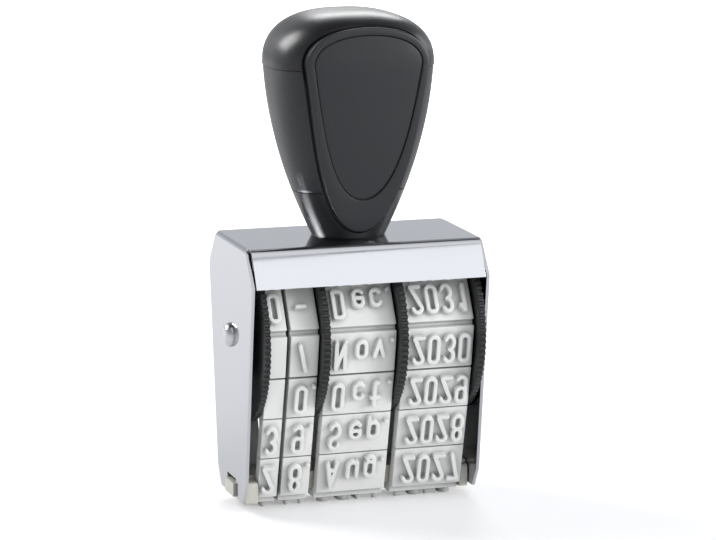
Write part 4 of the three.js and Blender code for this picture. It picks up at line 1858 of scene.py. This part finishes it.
@dataclass
class Studio:
    """The camera, the floor and the lights."""

    azimuth: float = 17.54
    elevation: float = 10.75
    distance: float = 0.5437
    lens: float = 171.06
    sensor: float = 36.0
    clip_start: float = 0.01
    target: tuple[float, float, float] = (0.00168, 0.0, 0.03703)
    floor_size: float = 6.0
    floor_colour: Colour = (0.7, 0.7, 0.71)
    floor_roughness: float = 0.7
    floor_glow: float = 0.29
    mirrored_glow: float = 0.06
    shadow_reach: float = 0.06
    white_from: float = 0.4
    ambient_colour: Colour = (0.93, 0.95, 1)
    ambient_strength: float = 0.47
    room_tint: Colour = (0.96, 0.985, 1.03)
    room_stops: tuple[Point, ...] = (
        (0.0, 0.95), (0.1, 0.76), (0.2, 0.62), (0.36, 0.5),
        (0.5, 0.42), (0.8, 0.34), (0.93, 0.1), (1.0, 0.08),
    )

    def make(self) -> None:
        """Build the whole studio."""
        self.make_camera()
        self.make_floor()
        self.make_world()
        for softbox in SOFTBOXES:
            softbox.hang(self.target)
        bpy.context.scene.view_settings.view_transform = "Standard"

    def make_camera(self) -> None:
        """Place the camera where the photograph was taken from."""
        bpy.ops.object.camera_add()
        camera = bpy.context.object
        turn, lift = math.radians(self.azimuth), math.radians(self.elevation)
        back = Vector((-math.sin(turn) * math.cos(lift), -math.cos(turn) * math.cos(lift), math.sin(lift)))
        camera.location = Vector(self.target) + back * self.distance
        camera.rotation_euler = (-back).to_track_quat("-Z", "Y").to_euler()
        camera.data.lens = self.lens
        camera.data.sensor_width = self.sensor
        camera.data.clip_start = self.clip_start
        bpy.context.scene.camera = camera

    def make_floor(self) -> None:
        """Lay a white floor that shows white to the camera and keeps the stamp's soft shadow."""
        bpy.ops.mesh.primitive_plane_add(size=self.floor_size)
        floor = bpy.context.object
        floor.name = "floor"
        material = bpy.data.materials.new("floor_white")
        material.use_nodes = True
        tree = material.node_tree
        shader = tree.nodes["Principled BSDF"]
        shader.inputs["Base Color"].default_value = (*self.floor_colour, 1)
        shader.inputs["Roughness"].default_value = self.floor_roughness
        shader.inputs["Emission Color"].default_value = (1, 1, 1, 1)
        path = add_node(tree, "ShaderNodeLightPath")
        place = add_node(tree, "ShaderNodeTexCoord")
        away = add_node(tree, "ShaderNodeVectorMath", operation="LENGTH")
        fade = add_node(tree, "ShaderNodeMapRange")
        fade.inputs["From Min"].default_value = self.shadow_reach
        fade.inputs["From Max"].default_value = self.white_from
        fade.inputs["To Min"].default_value = self.floor_glow
        mirrored = add_node(tree, "ShaderNodeMath", operation="MAXIMUM")
        faint = add_node(tree, "ShaderNodeMath", operation="MULTIPLY")
        faint.inputs[1].default_value = self.mirrored_glow
        glow = add_node(tree, "ShaderNodeMath", operation="MULTIPLY_ADD")
        link_all(
            tree,
            (place.outputs["Object"], away.inputs[0]),
            (away.outputs["Value"], fade.inputs["Value"]),
            (path.outputs["Is Glossy Ray"], mirrored.inputs[0]),
            (path.outputs["Is Transmission Ray"], mirrored.inputs[1]),
            (mirrored.outputs[0], faint.inputs[0]),
            (path.outputs["Is Camera Ray"], glow.inputs[0]),
            (fade.outputs["Result"], glow.inputs[1]),
            (faint.outputs[0], glow.inputs[2]),
            (glow.outputs[0], shader.inputs["Emission Strength"]),
        )
        floor.data.materials.append(material)
        floor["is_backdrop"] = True

    def make_world(self) -> None:
        """Fill the room with ambient light. The camera sees it white, and metal mirrors its dark ceiling."""
        world = bpy.data.worlds.new("studio")
        bpy.context.scene.world = world
        world.use_nodes = True
        tree = world.node_tree
        ambient = tree.nodes["Background"]
        ambient.inputs["Color"].default_value = (*self.ambient_colour, 1)
        ambient.inputs["Strength"].default_value = self.ambient_strength
        white = add_node(tree, "ShaderNodeBackground")
        white.inputs["Color"].default_value = (1, 1, 1, 1)
        room = add_node(tree, "ShaderNodeBackground")
        place = add_node(tree, "ShaderNodeTexCoord")
        split = add_node(tree, "ShaderNodeSeparateXYZ")
        ramp = add_node(tree, "ShaderNodeValToRGB")
        elements = ramp.color_ramp.elements
        for i, (position, value) in enumerate(self.room_stops):
            element = elements[i] if i < len(elements) else elements.new(position)
            element.position = position
            element.color = (*(tint * value for tint in self.room_tint), 1)
        path = add_node(tree, "ShaderNodeLightPath")
        mirrored = add_node(tree, "ShaderNodeMixShader")
        shown = add_node(tree, "ShaderNodeMixShader")
        link_all(
            tree,
            (place.outputs["Generated"], split.inputs["Vector"]),
            (split.outputs["Z"], ramp.inputs["Fac"]),
            (ramp.outputs["Color"], room.inputs["Color"]),
            (path.outputs["Is Glossy Ray"], mirrored.inputs["Fac"]),
            (ambient.outputs["Background"], mirrored.inputs[1]),
            (room.outputs["Background"], mirrored.inputs[2]),
            (path.outputs["Is Camera Ray"], shown.inputs["Fac"]),
            (mirrored.outputs["Shader"], shown.inputs[1]),
            (white.outputs["Background"], shown.inputs[2]),
            (shown.outputs["Shader"], tree.nodes["World Output"].inputs["Surface"]),
        )

    @staticmethod
    def link_lamps(sheet: bpy.types.Object) -> None:
        """Keep the mirror images of the lamps behind off the bright sheet, and let one lamp light it alone.

        Args:
            sheet: The frame's sheet.
        """
        for state, lamps in SHEET_LAMPS.items():
            receivers = bpy.data.collections.new(f"sheet_{state.lower()}")
            receivers.objects.link(sheet)
            receivers.collection_objects[0].light_linking.link_state = state
            for name in lamps:
                bpy.data.objects[name].light_linking.receiver_collection = receivers


DAY_TENS = ("0", "", "", "3", "2", "1", "", "", "3", "2", "1", "0", "")
DAY_UNITS = ("-", "/", "0.", "9.", "8.", "7.", "6.", "5.", "4.", "3.", "2.", "1.", "")
MONTHS = (
    "Dec.", "Nov.", "Oct.", "Sep.", "Aug.", "Jul.", "Jun.", "May", "Apr.", "Mar.", "Feb.", "Jan.", "",
)
YEARS = (*(str(year) for year in range(2031, 2019, -1)), "")


def make_bands(axle_z: float) -> None:
    """Build the four type bands. Their lines run from the top at the front, down, and up the back.

    Args:
        axle_z: The axle's height, in millimetres.
    """
    face = TypeFace()
    belt = Belt(axle_z)
    used = sorted(set("".join((*MONTHS, *YEARS, *DAY_TENS, *DAY_UNITS))))
    characters = {character: face.model(character) for character in used}
    rows = (
        ("day_tens_band", DAY_TENS, (-16.4,), -16.65, -13.45),
        ("day_units_band", DAY_UNITS, (-12.0, -9.25), -12.85, -8.2),
        ("month_band", MONTHS, (-5.9, -2.5, 0.4, 3.2), -6.9, 4.5),
        ("year_band", YEARS, (6.95, 9.5, 12.05, 14.6), 5.85, 17.4),
    )
    for node, lines, columns, left, right in rows:
        TypeBand(node, lines, columns, belt, face, left, right).make(characters)
    for solid in characters.values():
        solid.remove()


def make_wheels(axle_z: float) -> None:
    """Build the four thumb wheels.

    Args:
        axle_z: The axle's height, in millimetres.
    """
    wheels = (
        ThumbWheel(
            "day_tens_wheel", "day_tens_turner", axle_z, (-17.75, -16.75), (-17.5, -13.8), boss_from=-18.5
        ),
        ThumbWheel("day_units_wheel", "day_units_turner", axle_z, (-8.1, -7.0), (-13.1, -7.5)),
        ThumbWheel("month_wheel", "month_turner", axle_z, (4.65, 5.75), (-6.8, 5.2)),
        ThumbWheel(
            "year_wheel", "year_turner", axle_z, (17.6, 18.6), (5.9, 18.0), pocket=0.5, pocket_radius=4.75
        ),
    )
    for wheel in wheels:
        wheel.make()


def corners() -> list[list[float]]:
    """Give the lowest and the highest corner of what shows, in metres."""
    return [list(corner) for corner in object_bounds()]


def main() -> None:
    """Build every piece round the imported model."""
    logging.basicConfig(level=logging.INFO, format="%(name)s: %(message)s")
    bpy.ops.object.select_all(action="SELECT")
    bpy.ops.object.delete()
    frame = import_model()
    axle = next(joint for joint in frame["joints"] if joint["name"] == "day_tens_turn")
    axle_z = axle["pos_m"][2] / MM
    studio = Studio()
    studio.make()
    FoldedFrame().make(axle_z)
    studio.link_lamps(bpy.data.objects["frame_chrome"])
    make_wheels(axle_z)
    make_bands(axle_z)
    AxleAndPlaten(axle_z).make()
    form = HandleForm(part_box("frame")[1].z / MM)
    shields = (Shield("front_shield", -1, form), Shield("back_shield", 1, form))
    Handle(form).make(shields)
    for shield in shields:
        shield.make()
    SmallParts().dress(frame["nodes"])


if __name__ == "__main__":
    main()
